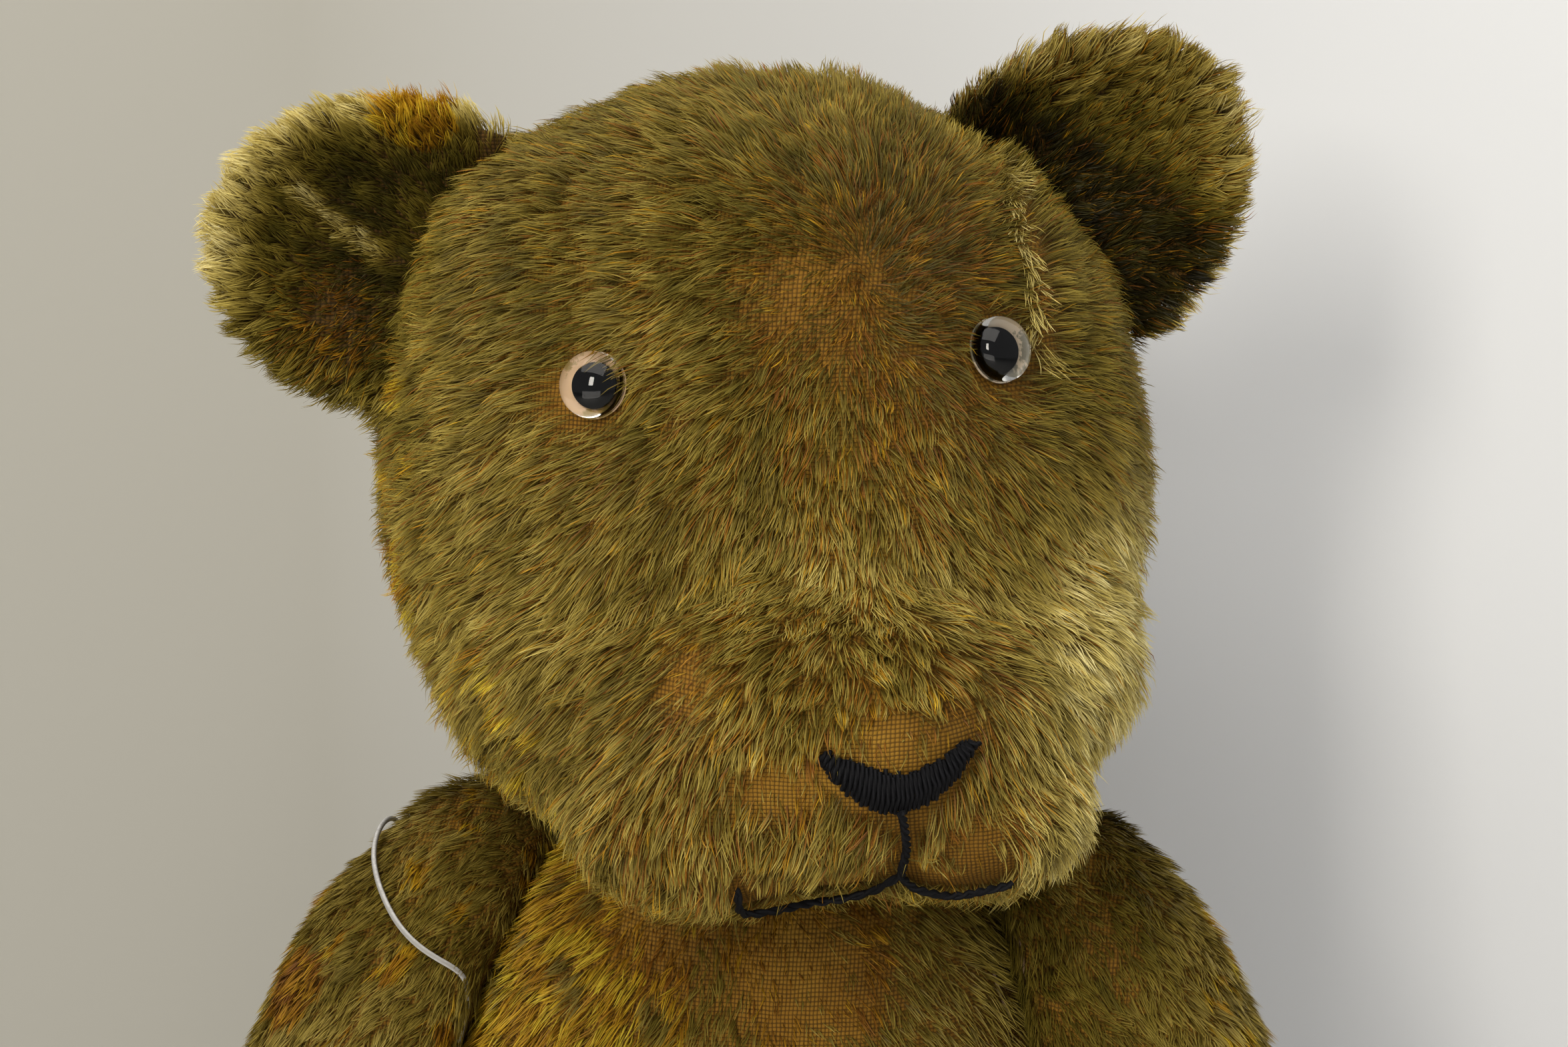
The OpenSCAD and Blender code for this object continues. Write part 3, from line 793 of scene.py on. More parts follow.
def scatter(o, count, weight, rng):
    """Random points on a skin, as many to an area as the weight says, with their normals."""
    o.data.calc_loop_triangles()
    corners = np.empty(len(o.data.loop_triangles) * 3, np.int32)
    o.data.loop_triangles.foreach_get("vertices", corners)
    corners = corners.reshape(-1, 3)
    co, n = points_of(o), normals_of(o)
    a, b, c = (co[corners[:, i]] for i in range(3))
    area = np.linalg.norm(np.cross(b - a, c - a), axis=1) / 2
    share = area * weight((a + b + c) / 3, unit(n[corners].sum(1)))
    pick = rng.choice(len(corners), count, p=share / share.sum())
    u, v = rng.random((2, count, 1))
    flip = u + v > 1
    u, v = np.where(flip, 1 - u, u), np.where(flip, 1 - v, v)
    k = corners[pick]
    p = co[k[:, 0]] * (1 - u - v) + co[k[:, 1]] * u + co[k[:, 2]] * v
    return p, unit(n[k[:, 0]] * (1 - u - v) + n[k[:, 1]] * u + n[k[:, 2]] * v)


def locks(p, size, rng):
    """Which lock of hair each root belongs to."""
    warp = np.stack([waves(p, 5 * size, s, 1) for s in (7, 8, 9)], 1)
    warped = p + 0.5 * size * warp + rng.normal(0, 0.16 * size, p.shape)
    turn = np.array(Matrix.Rotation(0.7, 3, (0.3, 0.8, 0.5)))
    cell = np.floor(warped @ turn / size).astype(np.int64)
    key = cell[:, 0] * 73856093 + cell[:, 1] * 19349663 + cell[:, 2] * 83492791
    _, lock = np.unique(key, return_inverse=True)
    return lock


def lock_mean(values, lock):
    count = np.bincount(lock)
    return np.stack([np.bincount(lock, values[:, i]) / count for i in range(values.shape[1])], 1)[lock]


def pile(name, o, body, count, look, place, lock_size=0.0027, ends=4, seed=0, keep=None, trim=None):
    """Grows mohair strands on a skin: look(points, normals), in the part's own millimetres, gives the pile."""
    rng = np.random.default_rng(SEED * 100 + seed)
    back = np.array(place.inverted().to_3x3())
    shift = np.array(place.inverted().translation)
    turn = np.array(place.to_3x3())

    def own(p):
        return (p @ back.T + shift) / MM

    def weight(p, n):
        w = look(own(p), n @ back.T)["dense"]
        return w if keep is None else w * keep(own(p), n @ back.T)

    p, n = scatter(o, count, weight, rng)
    k = look(own(p), n @ back.T)
    lock = locks(p, lock_size, rng)
    dice = rng.random((lock.max() + 1, 8))[lock]
    flow = k["flow"] @ turn.T
    swirl = np.stack([waves(p, 0.022, s, 2) for s in (21, 22, 23)], 1)
    flow = unit(flow) + k["swirl"][:, None] * swirl + (dice[:, :3] - 0.5) * 0.55
    flow = flow + rng.normal(0, 0.10, p.shape)
    flow = unit(flow - n * (flow * n).sum(1, keepdims=True))
    length = k["long"] * MM * (0.72 + 0.4 * dice[:, 3]) * rng.uniform(0.62, 1.12, len(p))
    lift = k["lift"] * (0.75 + 0.5 * dice[:, 4])
    rise = unit(flow * np.cos(lift)[:, None] + n * np.sin(lift)[:, None] + rng.normal(0, 0.07, p.shape))
    fall = unit(flow * np.cos(lift * 0.45)[:, None] + n * np.sin(lift * 0.45)[:, None])
    root = p - n * 0.0004
    low = root + rise * (length * 0.42)[:, None]
    high = low + unit(rise + fall) * (length * 0.33)[:, None]
    tip = high + unit(fall + rng.normal(0, 0.12, p.shape)) * (length * 0.25)[:, None]
    pull = k["clump"][:, None]
    high += (lock_mean(high, lock) - high) * pull * 0.55
    tip += (lock_mean(tip, lock) - tip) * pull
    if trim is not None:
        over = trim(own(tip)) | trim(own(high)) | trim(own(low))
        left = ~over | (rng.random(len(p)) < 0.02)
        p, n, root, low, high, tip, rise, dice = (a[left] for a in (p, n, root, low, high, tip, rise, dice))
        k = {key: v[left] for key, v in k.items()}
    across = unit(np.cross(rise, n))
    roll = rng.uniform(-1.1, 1.1, len(p))[:, None]
    half = (k["wide"] * MM * rng.uniform(0.7, 1.2, len(p)) / 2)[:, None]
    wide = unit(across * np.cos(roll) + n * np.sin(roll)) * half
    if ends == 4:
        rows = [root, low - wide, low + wide, high - wide * 0.8, high + wide * 0.8, tip]
        faces = [(0, 2, 1), (1, 2, 4, 3), (3, 4, 5)]
        heights = (0.0, 0.42, 0.42, 0.75, 0.75, 1.0)
    else:
        rows = [root, low - wide, low + wide, tip]
        faces = [(0, 2, 1), (1, 2, 3)]
        heights = (0.0, 0.45, 0.45, 1.0)
    strand = np.stack(rows, 1)
    strand[:, :, 2] = np.maximum(strand[:, :, 2], 0.0002)
    step = len(rows)
    first = (np.arange(len(p)) * step)[:, None]
    sizes = np.array([len(f) for f in faces])
    corners = np.array([i for f in faces for i in f])
    loops = (first + corners).ravel()
    mesh = bpy.data.meshes.new(name)
    mesh.vertices.add(len(p) * step)
    mesh.vertices.foreach_set("co", strand.astype(np.float32).ravel())
    mesh.loops.add(len(loops))
    mesh.loops.foreach_set("vertex_index", loops.astype(np.int32))
    mesh.polygons.add(len(p) * len(faces))
    starts = (np.arange(len(p)) * sizes.sum())[:, None] + np.concatenate([[0], np.cumsum(sizes)[:-1]])
    mesh.polygons.foreach_set("loop_start", starts.ravel().astype(np.int32))
    shade = np.clip(k["tone"] + (dice[:, 5] - 0.5) * k["spread"] + rng.normal(0, 0.018, len(p)), 0.004, 0.995)
    family = np.where(k["tone"] < 0.79, 0, 1)
    shade = np.where(family == 0, np.minimum(shade, 0.775), np.maximum(shade, 0.805))
    # bright sets how far a strand climbs the ramp from painted root shade to painted tip highlight; through
    # k["light"] it also carries worn, pale and shaded places
    bright = k["light"] * (0.86 + 0.28 * dice[:, 6]) * rng.uniform(0.88, 1.12, len(p))
    side = np.array([0, -1, 1, -1, 1, 0][:step] if ends == 4 else [0, -1, 1, 0])
    u = shade[:, None] + 0.002 * side
    v = np.clip(np.array(heights) * (bright * 0.84)[:, None] + 0.02, 0.003, 0.997)
    uv = np.stack([u, v], 2)[:, corners].reshape(-1, 2)
    layer = mesh.uv_layers.new(name="OFBake")
    layer.uv.foreach_set("vector", uv.astype(np.float32).ravel())
    mesh.validate()
    mesh.update()
    mesh.materials.append(PILE)
    mesh.shade_smooth()
    made = bpy.data.objects.new(name, mesh)
    bpy.context.scene.collection.objects.link(made)
    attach(made, body)
    return made


def rusted(k, chance, rng_seed, low=0.812, high=0.850):
    """Lets some strands show the brown that the dye has turned to."""
    rng = np.random.default_rng(rng_seed)
    take = rng.random(len(k["tone"])) < chance
    k["tone"] = np.where(take & (k["tone"] < 0.79), rng.uniform(low, high, len(take)), k["tone"])
    return k


def base_look(p, n, **values):
    k = dict(dense=1.0, long=8.0, lift=0.62, tone=0.42, spread=0.10, light=1.0)
    k.update(wide=0.30, clump=0.42, swirl=0.35)
    k.update(values)
    return {key: np.full(len(p), v) if np.isscalar(v) else v for key, v in k.items()}


def toward(value, mask, goal):
    return value + mask * (goal - value)


MOUTH = (
    ((5.0, 22.0), (6.2, 17.5), (7.4, 12.0), (8.2, 8.0)),
    ((8.2, 8.4), (4.0, 4.6), (-2.0, 2.0), (-12.0, 1.8), (-21.0, 2.6), (-22.5, 8.2)),
    ((8.2, 8.4), (11.5, 5.0), (18.0, 3.4), (27.5, 5.2)),
)


def stitched(p):
    """Where the nose and mouth threads show: no strand may lie over them."""
    x, y, z = p.T
    dx = np.abs((x - 5.5) / 14.4)
    low = 20.3 + 9.6 * dx ** 1.8
    high = low + 7.0 * np.clip(1 - dx ** 2.2, 0, 1) ** 0.8 + 1.0
    over = (dx < 1) & (z > low) & (z < high)
    for line in MOUTH:
        for (ax, az), (bx, bz) in zip(line, line[1:]):
            span = np.array((bx - ax, bz - az))
            t = np.clip(((x - ax) * span[0] + (z - az) * span[1]) / (span @ span), 0, 1)
            over |= np.hypot(x - ax - t * span[0], z - az - t * span[1]) < 1.3
    return over & (y < -52)


def head_look(p, n):
    """Combed out from between the eyes, worn along the bridge and round the nose."""
    x, y, z = p.T
    flow = (p - np.array((6, -62, 84))) / 60 + np.array((0, 0, -0.50))
    upper = np.clip((z - 78) / 24, 0, 1) * np.clip((14 - x) / 24, 0, 1)
    flow[:, 2] -= 0.55 * upper
    flow[:, 0] -= 0.45 * upper
    k = base_look(p, n, flow=flow)
    m = waves(p * MM, 0.030, 31)
    fine = waves(p * MM, 0.011, 32)
    front = np.clip((-y - 5) / 45, 0, 1)
    muzzle = np.clip((-y - 50) / 34, 0, 1)
    wisps = near(p, (4, -60, 58), (36, 30, 26))
    worn_brow = near(p, (16, -46, 110), (38, 44, 40))
    worn_bridge = near(p, (12, -58, 82), (34, 28, 30))
    left_brow = near(p, (-44, -24, 108), (40, 54, 40))
    cheek_right = near(p, (-56, -30, 44), (40, 54, 48))
    cheek_left = near(p, (58, -28, 42), (30, 54, 50))
    jowl_left = near(p, (44, -50, 14), (30, 40, 30))
    chin = np.clip((22 - z) / 26, 0, 1)
    bare = np.maximum.reduce([
        near(p, (-15, -86, 27), (14, 15, 9)),
        near(p, (5, -87, 36), (12, 15, 8)),
        near(p, (20, -82, 13), (10, 15, 13)),
        0.7 * near(p, (-27, -71, 43), (9, 14, 14)), 0.9 * near(p, (17, -84, 36), (12, 15, 8)),
        0.62 * near(p, (-4, -50, 104), (16, 20, 18)), 0.5 * near(p, (20, -84, 42), (10, 14, 12)),
    ])
    k["long"] = 8.8 + 1.2 * m - 3.6 * worn_brow - 2.8 * worn_bridge + 0.8 * muzzle
    k["long"] = k["long"] + 1.6 * cheek_right + 1.4 * cheek_left
    k["long"] = k["long"] * (1 - 0.66 * np.clip(bare * 1.3, 0, 1))
    k["lift"] = 0.60 - 0.10 * muzzle + 0.12 * worn_brow
    k["dense"] = 1.0 - 0.12 * front - 0.20 * worn_brow - 0.15 * worn_bridge - 0.22 * muzzle
    k["dense"] = k["dense"] * (1 - 0.92 * np.clip(bare * 1.3, 0, 1))
    k["dense"] = k["dense"] * np.where(y > 25, 0.55, 1.0)
    tone = 0.41 + 0.09 * m + 0.06 * fine
    tone = toward(tone, 0.8 * left_brow, 0.35 + 0.10 * fine)
    tone = toward(tone, cheek_right, 0.50 + 0.08 * fine)
    tone = toward(tone, np.clip(1.5 * cheek_left, 0, 1), 0.66 + 0.08 * fine)
    tone = toward(tone, 0.9 * muzzle, 0.50 + 0.09 * fine)
    tone = toward(tone, wisps, 0.58 + 0.08 * fine)
    tone = toward(tone, np.clip(1.2 * worn_brow, 0, 1), 0.25)
    tone = toward(tone, 0.7 * worn_bridge, 0.40)
    tone = toward(tone, 0.5 * chin, 0.56)
    pale_side = np.clip((x - 20) / 22, 0, 1) * np.clip((68 - z) / 22, 0, 1)
    tone = toward(tone, np.maximum(pale_side, np.clip(1.2 * jowl_left, 0, 1)), 0.71 + 0.06 * fine)
    tone = toward(tone, 0.8 * near(p, (50, -34, 84), (20, 30, 22)), 0.34)
    gold_edge = (near(p, (-71, 0, 62), (20, 34, 44)) > 0.3) & (waves(p * MM, 0.012, 34) > 0.35)
    gold_cheek = (near(p, (-50, -26, 22), (34, 34, 30)) > 0.1) & (waves(p * MM, 0.009, 35) > 0.5)
    k["spread"] = np.full(len(p), 0.16)
    k["tone"] = np.where(gold_edge | gold_cheek, 0.94, tone)
    rust = 0.12 + 0.36 * worn_brow + 0.30 * worn_bridge + 0.22 * muzzle + 0.4 * np.clip(bare, 0, 1)
    rust = rust * (1 - 0.8 * pale_side)
    k = rusted(k, rust * np.clip(0.8 + 0.8 * fine, 0, 2), 77)
    k["light"] = 0.97 + 0.14 * fine - 0.28 * worn_brow + 0.14 * wisps + 0.40 * pale_side + 0.08 * cheek_right
    k["clump"] = 0.32 + 0.22 * muzzle + 0.15 * cheek_right - 0.12 * worn_brow
    k["wide"] = 0.20 + 0.03 * muzzle
    k["swirl"] = 0.32 + 0.22 * muzzle
    # the gusset seam: long pale pile stands along it over the left eye
    fore = (z > 90) * (y < 20)
    ridge = np.exp(-((x - 42.2) / 1.3) ** 2) * fore * (z < 122)
    k["tone"] = np.where(ridge > 0.35, 0.70, k["tone"])
    k["light"] = k["light"] + 0.10 * ridge
    k["flow"] = np.where(ridge[:, None] > 0.3, np.array((-0.15, 0, -1.0)), k["flow"])
    parting = np.exp(-((x - 39.5) / 1.2) ** 2) * fore + 0.8 * np.exp(-((x + 38) / 1.1) ** 2) * (z > 92)
    k["dense"] = k["dense"] * (1 - 0.75 * np.clip(parting, 0, 1))
    for eye in EYES:
        away = p - np.array(eye)
        gone = np.clip(1.9 - np.linalg.norm(away, axis=1) / 6.4, 0, 1)
        k["dense"] = k["dense"] * (1 - gone)
        ring = near(p, eye, (13, 16, 13))
        k["flow"] = k["flow"] + 1.6 * ring[:, None] * unit(away)
        k["long"] = k["long"] * (1 - 0.45 * ring)
    k["dense"] = np.maximum(k["dense"] * (1 - stitched(p)), 0.0)
    return k


def torso_look(p, n):
    x, y, z = p.T
    flow = np.stack([0.55 * np.sign(x) * np.clip(np.abs(x) / 30, 0, 1), 0 * y, -np.ones(len(p))], 1)
    m = waves(p * MM, 0.045, 41)
    fine = waves(p * MM, 0.013, 42)
    bare = np.maximum(near(p, (14, -40, 174), (26, 30, 24)), 0.5 * near(p, (-12, -36, 182), (22, 30, 16)))
    bare = np.maximum(bare, np.clip(m - 0.35, 0, 1) * 1.4 * (z < 150))
    right_gold = np.clip((-x - 4) / 20, 0, 1) * np.clip((z - 110) / 40, 0, 1) * (y < 20)
    left_green = np.clip((x - 22) / 14, 0, 1) * (y < 20)
    k = base_look(p, n, flow=flow)
    k["tone"] = 0.46 + 0.10 * m + 0.06 * fine
    gold = (right_gold > 0.2) & (fine + m > -0.35)
    k["tone"] = np.where(gold, 0.93 + 0.05 * fine, k["tone"])
    rust = (bare > 0.15) & (fine > -0.1) & (left_green < 0.4)
    k["tone"] = np.where(rust, 0.84, k["tone"])
    k["tone"] = toward(k["tone"], left_green * (k["tone"] < 0.79), 0.44)
    k["long"] = (7.0 + 1.5 * m) * (1 - 0.55 * np.clip(bare, 0, 1))
    k["dense"] = (1 - 0.85 * np.clip(bare * 1.3, 0, 1)) * np.where(y > 15, 0.6, 1.0)
    k["dense"] = k["dense"] * np.where(z < 12, 0.5, 1.0)
    k["dense"] = k["dense"] * (1 - 0.6 * np.exp(-(x / 1.2) ** 2))
    k["spread"] = np.full(len(p), 0.14)
    k["light"] = 1.0 + 0.12 * fine
    return k


def arm_look(p, n, side):
    x, y, z = p.T
    flow = np.stack([0.25 + 0 * x, -0.35 + 0 * y, -np.ones(len(p))], 1)
    m = waves(p * MM, 0.040, 51 + side)
    fine = waves(p * MM, 0.012, 53 + side)
    worn = np.clip(m - 0.25, 0, 1) * 1.2
    k = base_look(p, n, flow=flow)
    if side < 0:
        k["tone"] = 0.48 + 0.09 * m + 0.07 * fine
        k["tone"] = np.where((fine > 0.6) & (z > -60), 0.90, k["tone"])
        k["tone"] = np.where(near(p, (34, -14, -24), (12, 14, 14)) > 0.35, 0.83, k["tone"])
    else:
        k["tone"] = 0.36 + 0.10 * m + 0.12 * fine
        k["tone"] = toward(k["tone"], np.clip((x - 26) / 12, 0, 1), 0.62)
        k["tone"] = np.where((x > 33) & (fine > 0.25), 0.95, k["tone"])
    k["long"] = (6.6 + 1.0 * m) * (1 - 0.4 * worn)
    pad = (z < -118) & (x < 19)
    pressed = (x < 1.4) & (np.hypot(y, z) < 26)
    k["dense"] = (1 - 0.5 * np.clip(worn, 0, 1)) * np.where(pad, 0.0, 1.0) * np.where(pressed, 0.04, 1.0)
    k["dense"] = k["dense"] * (1 - 0.6 * np.exp(-((x - 20) / 1.2) ** 2))
    k["light"] = 0.9 + 0.12 * fine
    k["spread"] = np.full(len(p), 0.14)
    return k


def leg_look(p, n, side):
    x, y, z = p.T
    foot = np.clip((-y - 125) / 25, 0, 1)
    flow = np.stack([0.2 + 0 * x, foot - 1, -0.35 + 1.2 * foot], 1)
    m = waves(p * MM, 0.042, 61 + side)
    fine = waves(p * MM, 0.013, 63 + side)
    worn = np.clip(m - 0.25, 0, 1) * 1.2
    k = base_look(p, n, flow=flow)
    k["tone"] = 0.38 + 0.10 * m + 0.06 * fine
    k["tone"] = np.where((fine > 0.75) & (z > 5), 0.91, k["tone"])
    k["long"] = (7.0 + 1.0 * m) * (1 - 0.4 * worn)
    sole, pressed = y < -158.5, (x < 1.4) & (np.hypot(y, z) < 40)
    k["dense"] = (1 - 0.5 * np.clip(worn, 0, 1)) * np.where(sole, 0.0, 1.0) * np.where(pressed, 0.04, 1.0)
    k["dense"] = k["dense"] * (1 - 0.6 * np.exp(-((x - 19) / 1.2) ** 2))
    k["light"] = 0.9 + 0.12 * fine
    k["spread"] = np.full(len(p), 0.14)
    return k


def ear_look(p, n, side):
    """p is in the ear's own millimetres: x along the seam, z out from the head, -y the hollow front."""
    x, y, z = p.T
    out = np.hypot(x / 30, np.maximum(z, 0) / 40)
    rim = np.clip((out - 0.60) / 0.32, 0, 1)
    inside = n[:, 1] < 0
    flow = np.stack([x / 34, 0 * y - 0.25 * rim, np.maximum(z, 0) / 34 + 0.35], 1)
    fine = waves(p * MM, 0.010, 71 + side)
    m = waves(p * MM, 0.022, 73 + side)
    k = base_look(p, n, flow=flow)
    if side < 0:
        hollow = inside * (1 - rim)
        pale = np.clip((out - 0.66) / 0.22, 0, 1) * np.clip((20 - x) / 10, 0, 1)
        k["tone"] = toward(0.40 + 0.10 * m + 0.06 * fine, pale, 0.73)
        # painted shade: the ear's hollow is darkened, as the shade inside its cup
        k["tone"] = toward(k["tone"], hollow, 0.20 + 0.12 * fine)
        fold = np.exp(-((x + 3 + 0.45 * (z - 16)) / 2.0) ** 2) * inside
        fold = fold * np.clip((z - 5) / 5, 0, 1) * np.clip((30 - z) / 5, 0, 1)
        k["tone"] = toward(k["tone"], np.clip(1.4 * fold, 0, 1), 0.71)
        k["tone"] = np.where(near(p, (-25, -3, 8), (10, 12, 12)) > 0.3, 0.91, k["tone"])
        bare = near(p, (14, -5, 14), (14, 14, 15)) * inside
        k = rusted(k, 0.8 * bare, 78)
    else:
        pale = fold = np.zeros(len(p))
        hollow = inside * np.clip((21 - z + 0.30 * x) / 8, 0, 1)
        k["tone"] = 0.36 + 0.10 * m + 0.26 * rim + 0.10 * fine
        # painted shade: the ear's hollow is darkened towards its base, as the shade inside its cup
        k["tone"] = toward(k["tone"], hollow, 0.06 + 0.06 * fine)
        bare = np.zeros(len(p))
        k = rusted(k, 0.12 + 0 * x, 79)
    k["long"] = 6.6 + 2.8 * rim - 1.4 * hollow - 2.5 * bare
    k["lift"] = 0.55 + 0.1 * rim
    k["dense"] = np.where(z < -3, 0.25, 1.0) * (1 - 0.6 * bare)
    # the hollow term here is painted shade
    k["light"] = 1.0 + 0.12 * fine - 0.34 * hollow + 0.34 * pale + 0.25 * fold
    k["spread"] = np.full(len(p), 0.14)
    k["clump"] = 0.42 + 0.15 * rim
    k["wide"] = 0.22
    return k


# ---- threads and eyes ----

def tube(name, path, thick, material, sides=8, closed=False):
    """A round thread along a path, made as a curve and turned into a mesh with its own map."""
    curve = bpy.data.curves.new(name, "CURVE")
    curve.dimensions = "3D"
    curve.bevel_depth = thick / 2
    curve.bevel_resolution = max(1, sides // 4)
    curve.use_fill_caps = True
    spline = curve.splines.new("POLY")
    spline.points.add(len(path) - 1)
    for point, at in zip(spline.points, path):
        point.co = (*at, 1)
    spline.use_cyclic_u = closed
    source = bpy.data.objects.new(name + "_path", curve)
    bpy.context.scene.collection.objects.link(source)
    graph = bpy.context.evaluated_depsgraph_get()
    mesh = bpy.data.meshes.new_from_object(source.evaluated_get(graph))
    bpy.data.objects.remove(source)
    mesh.name = name
    if not mesh.uv_layers:
        mesh.uv_layers.new(name="UVMap")
    o = bpy.data.objects.new(name, mesh)
    bpy.context.scene.collection.objects.link(o)
    mesh.materials.clear()
    mesh.materials.append(material)
    mesh.shade_smooth()
    return o


def joined(name, parts):
    bm = bmesh.new()
    for part in parts:
        bm.from_mesh(part.data)
        material = part.data.materials[0]
        bpy.data.objects.remove(part)
    return finished(bm, name, material)


def on_face(tree, x, z, lift=0.0):
    """The point of the head's skin straight in front of (x, z), in the head's own millimetres."""
    start = HEAD_PLACE @ (Vector((x, -160, z)) * MM)
    way = HEAD_PLACE.to_3x3() @ Vector((0, 1, 0))
    hit, normal, _, _ = tree.ray_cast(start, way)
    if hit is None:
        hit, normal, _, _ = tree.find_nearest(start + way * 0.075)
    return hit + normal * lift * MM


def smooth_path(points, count):
    """Even points on a smooth line through the given ones."""
    given = np.array(points, float)
    t = np.concatenate([[0], np.cumsum(np.linalg.norm(np.diff(given, axis=0), axis=1))])
    even = np.linspace(0, t[-1], count)
    line = np.stack([np.interp(even, t, given[:, i]) for i in range(given.shape[1])], 1)
    for _ in range(max(2, count // 12)):
        line[1:-1] = (line[:-2] + 2 * line[1:-1] + line[2:]) / 4
    return line


def nose_and_mouth(head):
    tree = BVHTree.FromObject(head, bpy.context.evaluated_depsgraph_get())
    rng = np.random.default_rng(SEED)
    threads = []
    for layer in (0, 1):
        for i in range(36):
            t = (i + 0.5 * layer) / 35.5 * 2 - 1
            x = 5.5 + 13.6 * t
            low = 20.9 + 9.6 * abs(t) ** 1.8
            top = low + 6.0 * (1 - abs(t) ** 2.2) ** 0.8 + 0.9
            lean = 1.6 * t
            upper = (x - lean * 0.5, top + rng.normal(0, 0.3))
            lower = (x + lean * 0.5, low + rng.normal(0, 0.3))
            line = smooth_path([upper, (x, (low + top) / 2), lower], 7)
            proud = np.interp(np.linspace(0, 2, 7), (0, 1, 2), (0.9, 2.0, 0.9)) + 0.5 * layer
            path = [on_face(tree, a, b, h) for (a, b), h in zip(line, proud)]
            threads.append(tube("stitch", path, 0.00085, BLACK_THREAD, 4))
    nose = joined("nose_thread", threads)
    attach(nose, "head")
    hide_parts("nose_stitching")

    parts = []
    for line in MOUTH:
        flat = smooth_path(line, 40)
        path = np.array([on_face(tree, a, b, 3.0) for a, b in flat])
        for _ in range(2):
            path[1:-1] = (path[:-2] + 2 * path[1:-1] + path[2:]) / 4
        for strand in range(2):
            turn = np.linspace(0, len(path) * 0.9, len(path)) + strand * math.pi
            side = np.stack([np.cos(turn), 0 * turn, np.sin(turn)], 1) * 0.00036
            parts.append(tube("strand", path + side, 0.00105, BLACK_THREAD, 6))
    mouth = joined("mouth_thread", parts)
    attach(mouth, "head")
    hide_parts("mouth_stitching")


def lathe(profile, segments, place):
    """A turned shape: the profile of (radius, height) points, in millimetres, spun about its axis."""
    bm = bmesh.new()
    verts = [bm.verts.new((r * MM, 0, h * MM)) for r, h in profile]
    edges = [bm.edges.new(pair) for pair in zip(verts, verts[1:])]
    turn = dict(axis=(0, 0, 1), cent=(0, 0, 0), angle=2 * math.pi, steps=segments)
    bmesh.ops.spin(bm, geom=verts + edges, use_merge=True, **turn)
    bmesh.ops.remove_doubles(bm, verts=bm.verts[:], dist=1e-6)
    bmesh.ops.recalc_face_normals(bm, faces=bm.faces[:])
    bmesh.ops.transform(bm, matrix=place, verts=bm.verts[:])
    return bm


def eyes():
    """Clear domes over a black pupil, painted on the back."""
    for name, own, enamel in (("left", Vector(EYES[0]), CREAM_LEFT), ("right", Vector(EYES[1]), CREAM_RIGHT)):
        out = Vector((own.x / 71 ** 2, (own.y - 2) / 61 ** 2, (own.z - 62) / 74 ** 2)).normalized()
        turn = out.to_track_quat("Z", "Y").to_matrix().to_4x4()
        place = HEAD_PLACE @ Matrix.Translation(own * MM - out * 0.0006) @ turn
        arc = [(6.0 * math.cos(a), 0.6 + 4.2 * math.sin(a)) for a in np.linspace(0, math.pi / 2, 20)[:-1]]
        dome = [(0, -1.4), (4.4, -1.4), (5.5, -1.2), (5.95, -0.6), *arc, (0, 4.8)]
        bead = [(0, -1.45), (2.9, -1.45), (3.2, -1.2), (3.2, -0.9), (2.8, -0.6), (1.8, -0.4), (0, -0.3)]
        coat = [(0, -2.1), (5.2, -2.0), (6.0, -1.2), (6.1, -0.6),
                (5.9, -0.75), (5.4, -1.35), (4.2, -1.52), (0, -1.52)]
        glass = finished(lathe(dome, 64, place), f"eye_dome_{name}", GLASS)
        pupil = finished(lathe(bead, 48, place), f"eye_pupil_bead_{name}", PUPIL)
        paint = finished(lathe(coat, 64, place), f"eye_enamel_{name}", enamel)
        for piece, cad, slot in (
            (glass, "glass", "clear_glass"),
            (pupil, "pupil", "black_glass"),
            (paint, "paint", "eye_enamel"),
        ):
            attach(piece, "head")
            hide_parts(f"eye_{cad}_{name}")


def arm_string(arm):
    """A thin string tied round the right arm: over its outer side, and through the gap at the armpit."""
    place = arm_place(-1)
    tree = BVHTree.FromObject(arm, bpy.context.evaluated_depsgraph_get())
    route = [
        (2, -26, -9), (9, -27, -11), (20, -25, -8), (30, -18, 1), (37, -6, 13), (36, 8, 15), (28, 20, 6),
        (16, 27, -8), (6, 26, -24), (1, 18, -34), (0.2, 6, -36), (0.2, -8, -28), (0.6, -18, -16),
    ]
    around = []
    for at in smooth_path(route + route[:1], 130)[:-1]:
        hit, normal, _, _ = tree.find_nearest(place @ (Vector(at) * MM))
        proud = 3.2 * min(1.0, max(0.0, (at[0] - 1.0) / 3.0))
        around.append(hit + normal * (0.25 + proud) * MM)
    path = np.array(around)
    for _ in range(24):
        path = (np.roll(path, 1, 0) + 2 * path + np.roll(path, -1, 0)) / 4
    o = tube("arm_string_twist", path, 0.0011, STRING, 12, closed=True)
    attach(o, "arm_right")
    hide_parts("arm_string")


def furred(name, body, o, count, look, place, slot="mohair_gold", **values):
    """Grows a part's pile; the slot argument is not used."""
    pile(name, o, body, count, look, place, **values)


def felted(name, body, node_name, skin_of, place, flats):
    """A felt patch, riding with its limb in place of the plain CAD one."""
    patch = felt_patch(name, skin_of, place, flats)
    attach(patch, body)
    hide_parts(node_name)


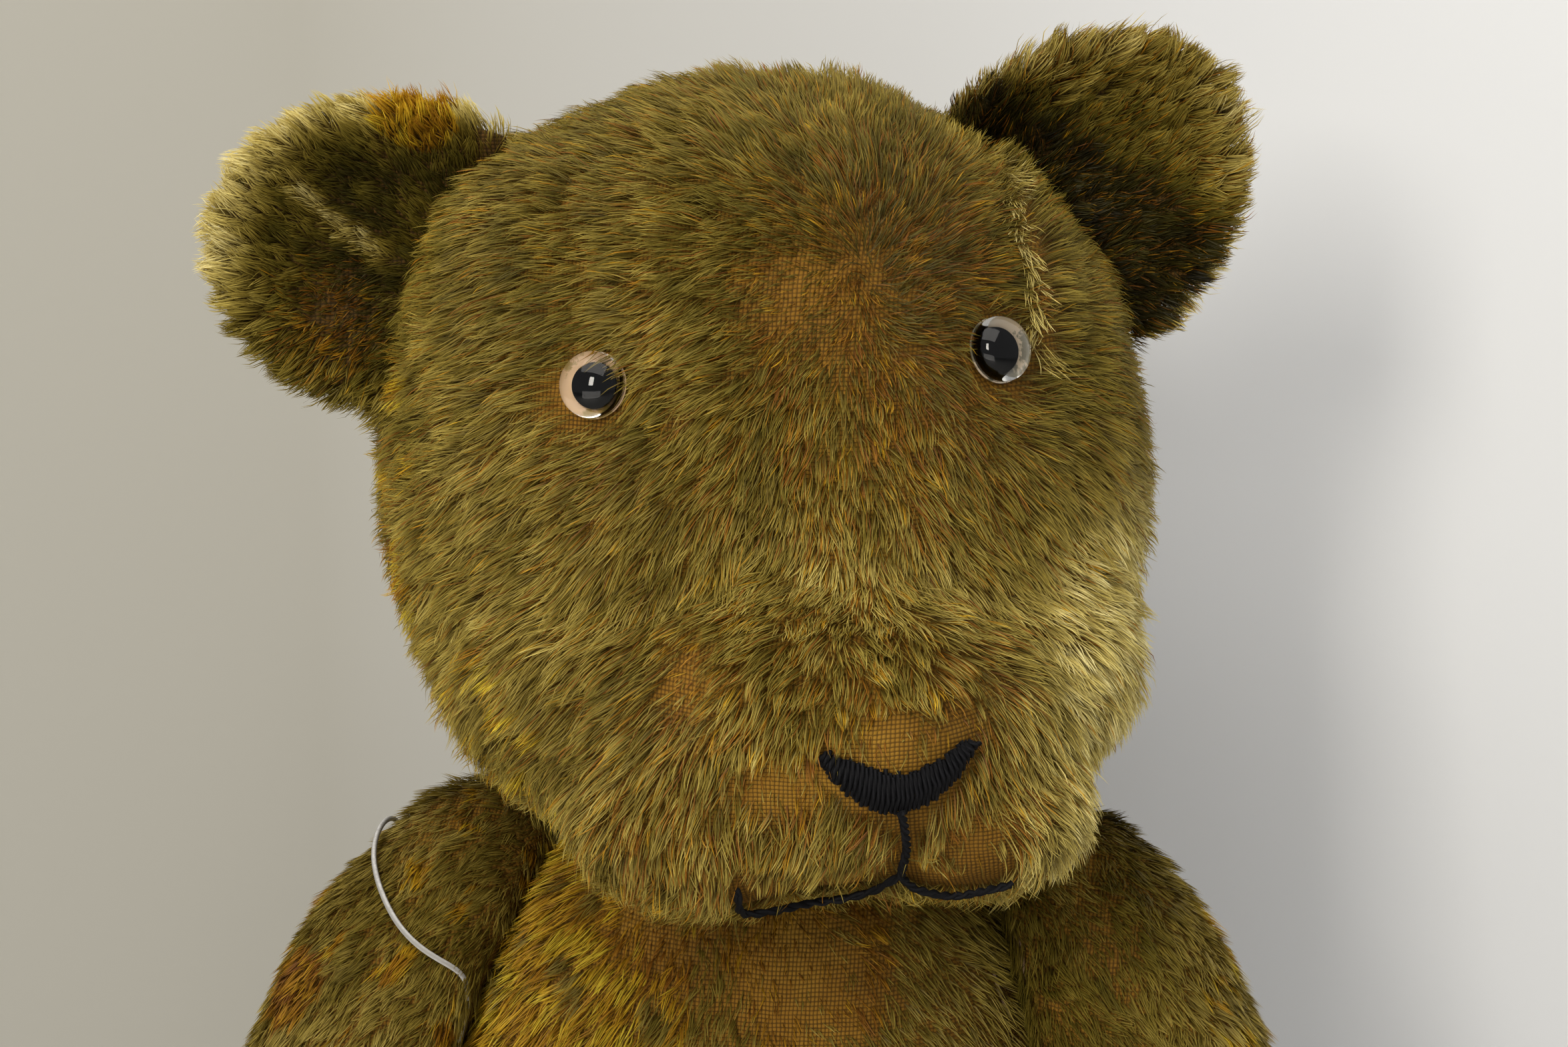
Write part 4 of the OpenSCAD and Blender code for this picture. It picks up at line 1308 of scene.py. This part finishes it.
def main():
    camera()
    studio()
    room_pieces()

    head = head_skin()
    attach(head, "head")
    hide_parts("head_side_left", "head_side_right", "head_gusset", "head_stuffing")
    moved(head, HEAD_PLACE)
    zones = {
        "head_pile_left": lambda p, n: (p[:, 0] > 22) & (p[:, 1] <= 12),
        "head_pile_middle": lambda p, n: (p[:, 0] <= 22) & (p[:, 0] > -22) & (p[:, 1] <= 12),
        "head_pile_right": lambda p, n: (p[:, 0] <= -22) & (p[:, 1] <= 12),
        "head_pile_back": lambda p, n: p[:, 1] > 12,
    }
    for i, (name, keep) in enumerate(zones.items()):
        count = 48000 if i < 3 else 38000
        furred(name, "head", head, count, head_look, HEAD_PLACE, seed=i, keep=keep, trim=stitched)
    nose_and_mouth(head)
    eyes()

    for side, name in ((1, "left"), (-1, "right")):
        ear = ear_skin(f"ear_{name}_cloth", side)
        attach(ear, "head")
        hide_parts(f"ear_{name}_front", f"ear_{name}_back")
        look = partial(ear_look, side=side)
        furred(f"ear_{name}_pile", "head", ear, 30000, look, ear_place(side), slot="mohair_green", seed=10 + side)

    torso = torso_skin()
    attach(torso, "torso")
    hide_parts("torso_left", "torso_right", "torso_stuffing")
    halves = {"torso_pile_left": lambda p, n: p[:, 0] > 0, "torso_pile_right": lambda p, n: p[:, 0] <= 0}
    for i, (name, keep) in enumerate(halves.items()):
        furred(name, "torso", torso, 56000, torso_look, Matrix.Identity(4), ends=2, seed=20 + i, keep=keep)

    for side, name in ((1, "left"), (-1, "right")):
        arm = arm_skin(f"arm_{name}_cloth", side)
        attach(arm, f"arm_{name}")
        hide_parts(f"arm_{name}_outer", f"arm_{name}_inner", f"arm_{name}_stuffing")
        paw = [((0, 0, -118), (0, 0, 1)), ((19, 0, 0), (1, 0, 0))]
        felted(f"arm_{name}_felt", f"arm_{name}", f"arm_{name}_pad", arm, arm_place(side), paw)
        if side < 0:
            arm_string(arm)
        look = partial(arm_look, side=side)
        furred(f"arm_{name}_pile", f"arm_{name}", arm, 66000, look, arm_place(side), ends=2, seed=30 + side)
        leg = leg_skin(f"leg_{name}_cloth", side)
        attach(leg, f"leg_{name}")
        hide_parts(*(f"leg_{name}_{part}" for part in ("outer", "inner", "insole", "stuffing")))
        sole = [((0, -159.5, 0), (0, 1, 0))]
        felted(f"leg_{name}_felt", f"leg_{name}", f"leg_{name}_sole", leg, leg_place(side), sole)
        look = partial(leg_look, side=side)
        furred(f"leg_{name}_pile", f"leg_{name}", leg, 56000, look, leg_place(side), ends=2, seed=40 + side)
    for n, o in frame["nodes"].items():
        metal = "pin" in n or "washer" in n or "wire" in n
        finish = STEEL if metal else BOARD if "disc" in n else BROWN_THREAD if "stitches" in n else None
        if finish:
            o.data.materials.clear()
            o.data.materials.append(finish)


main()
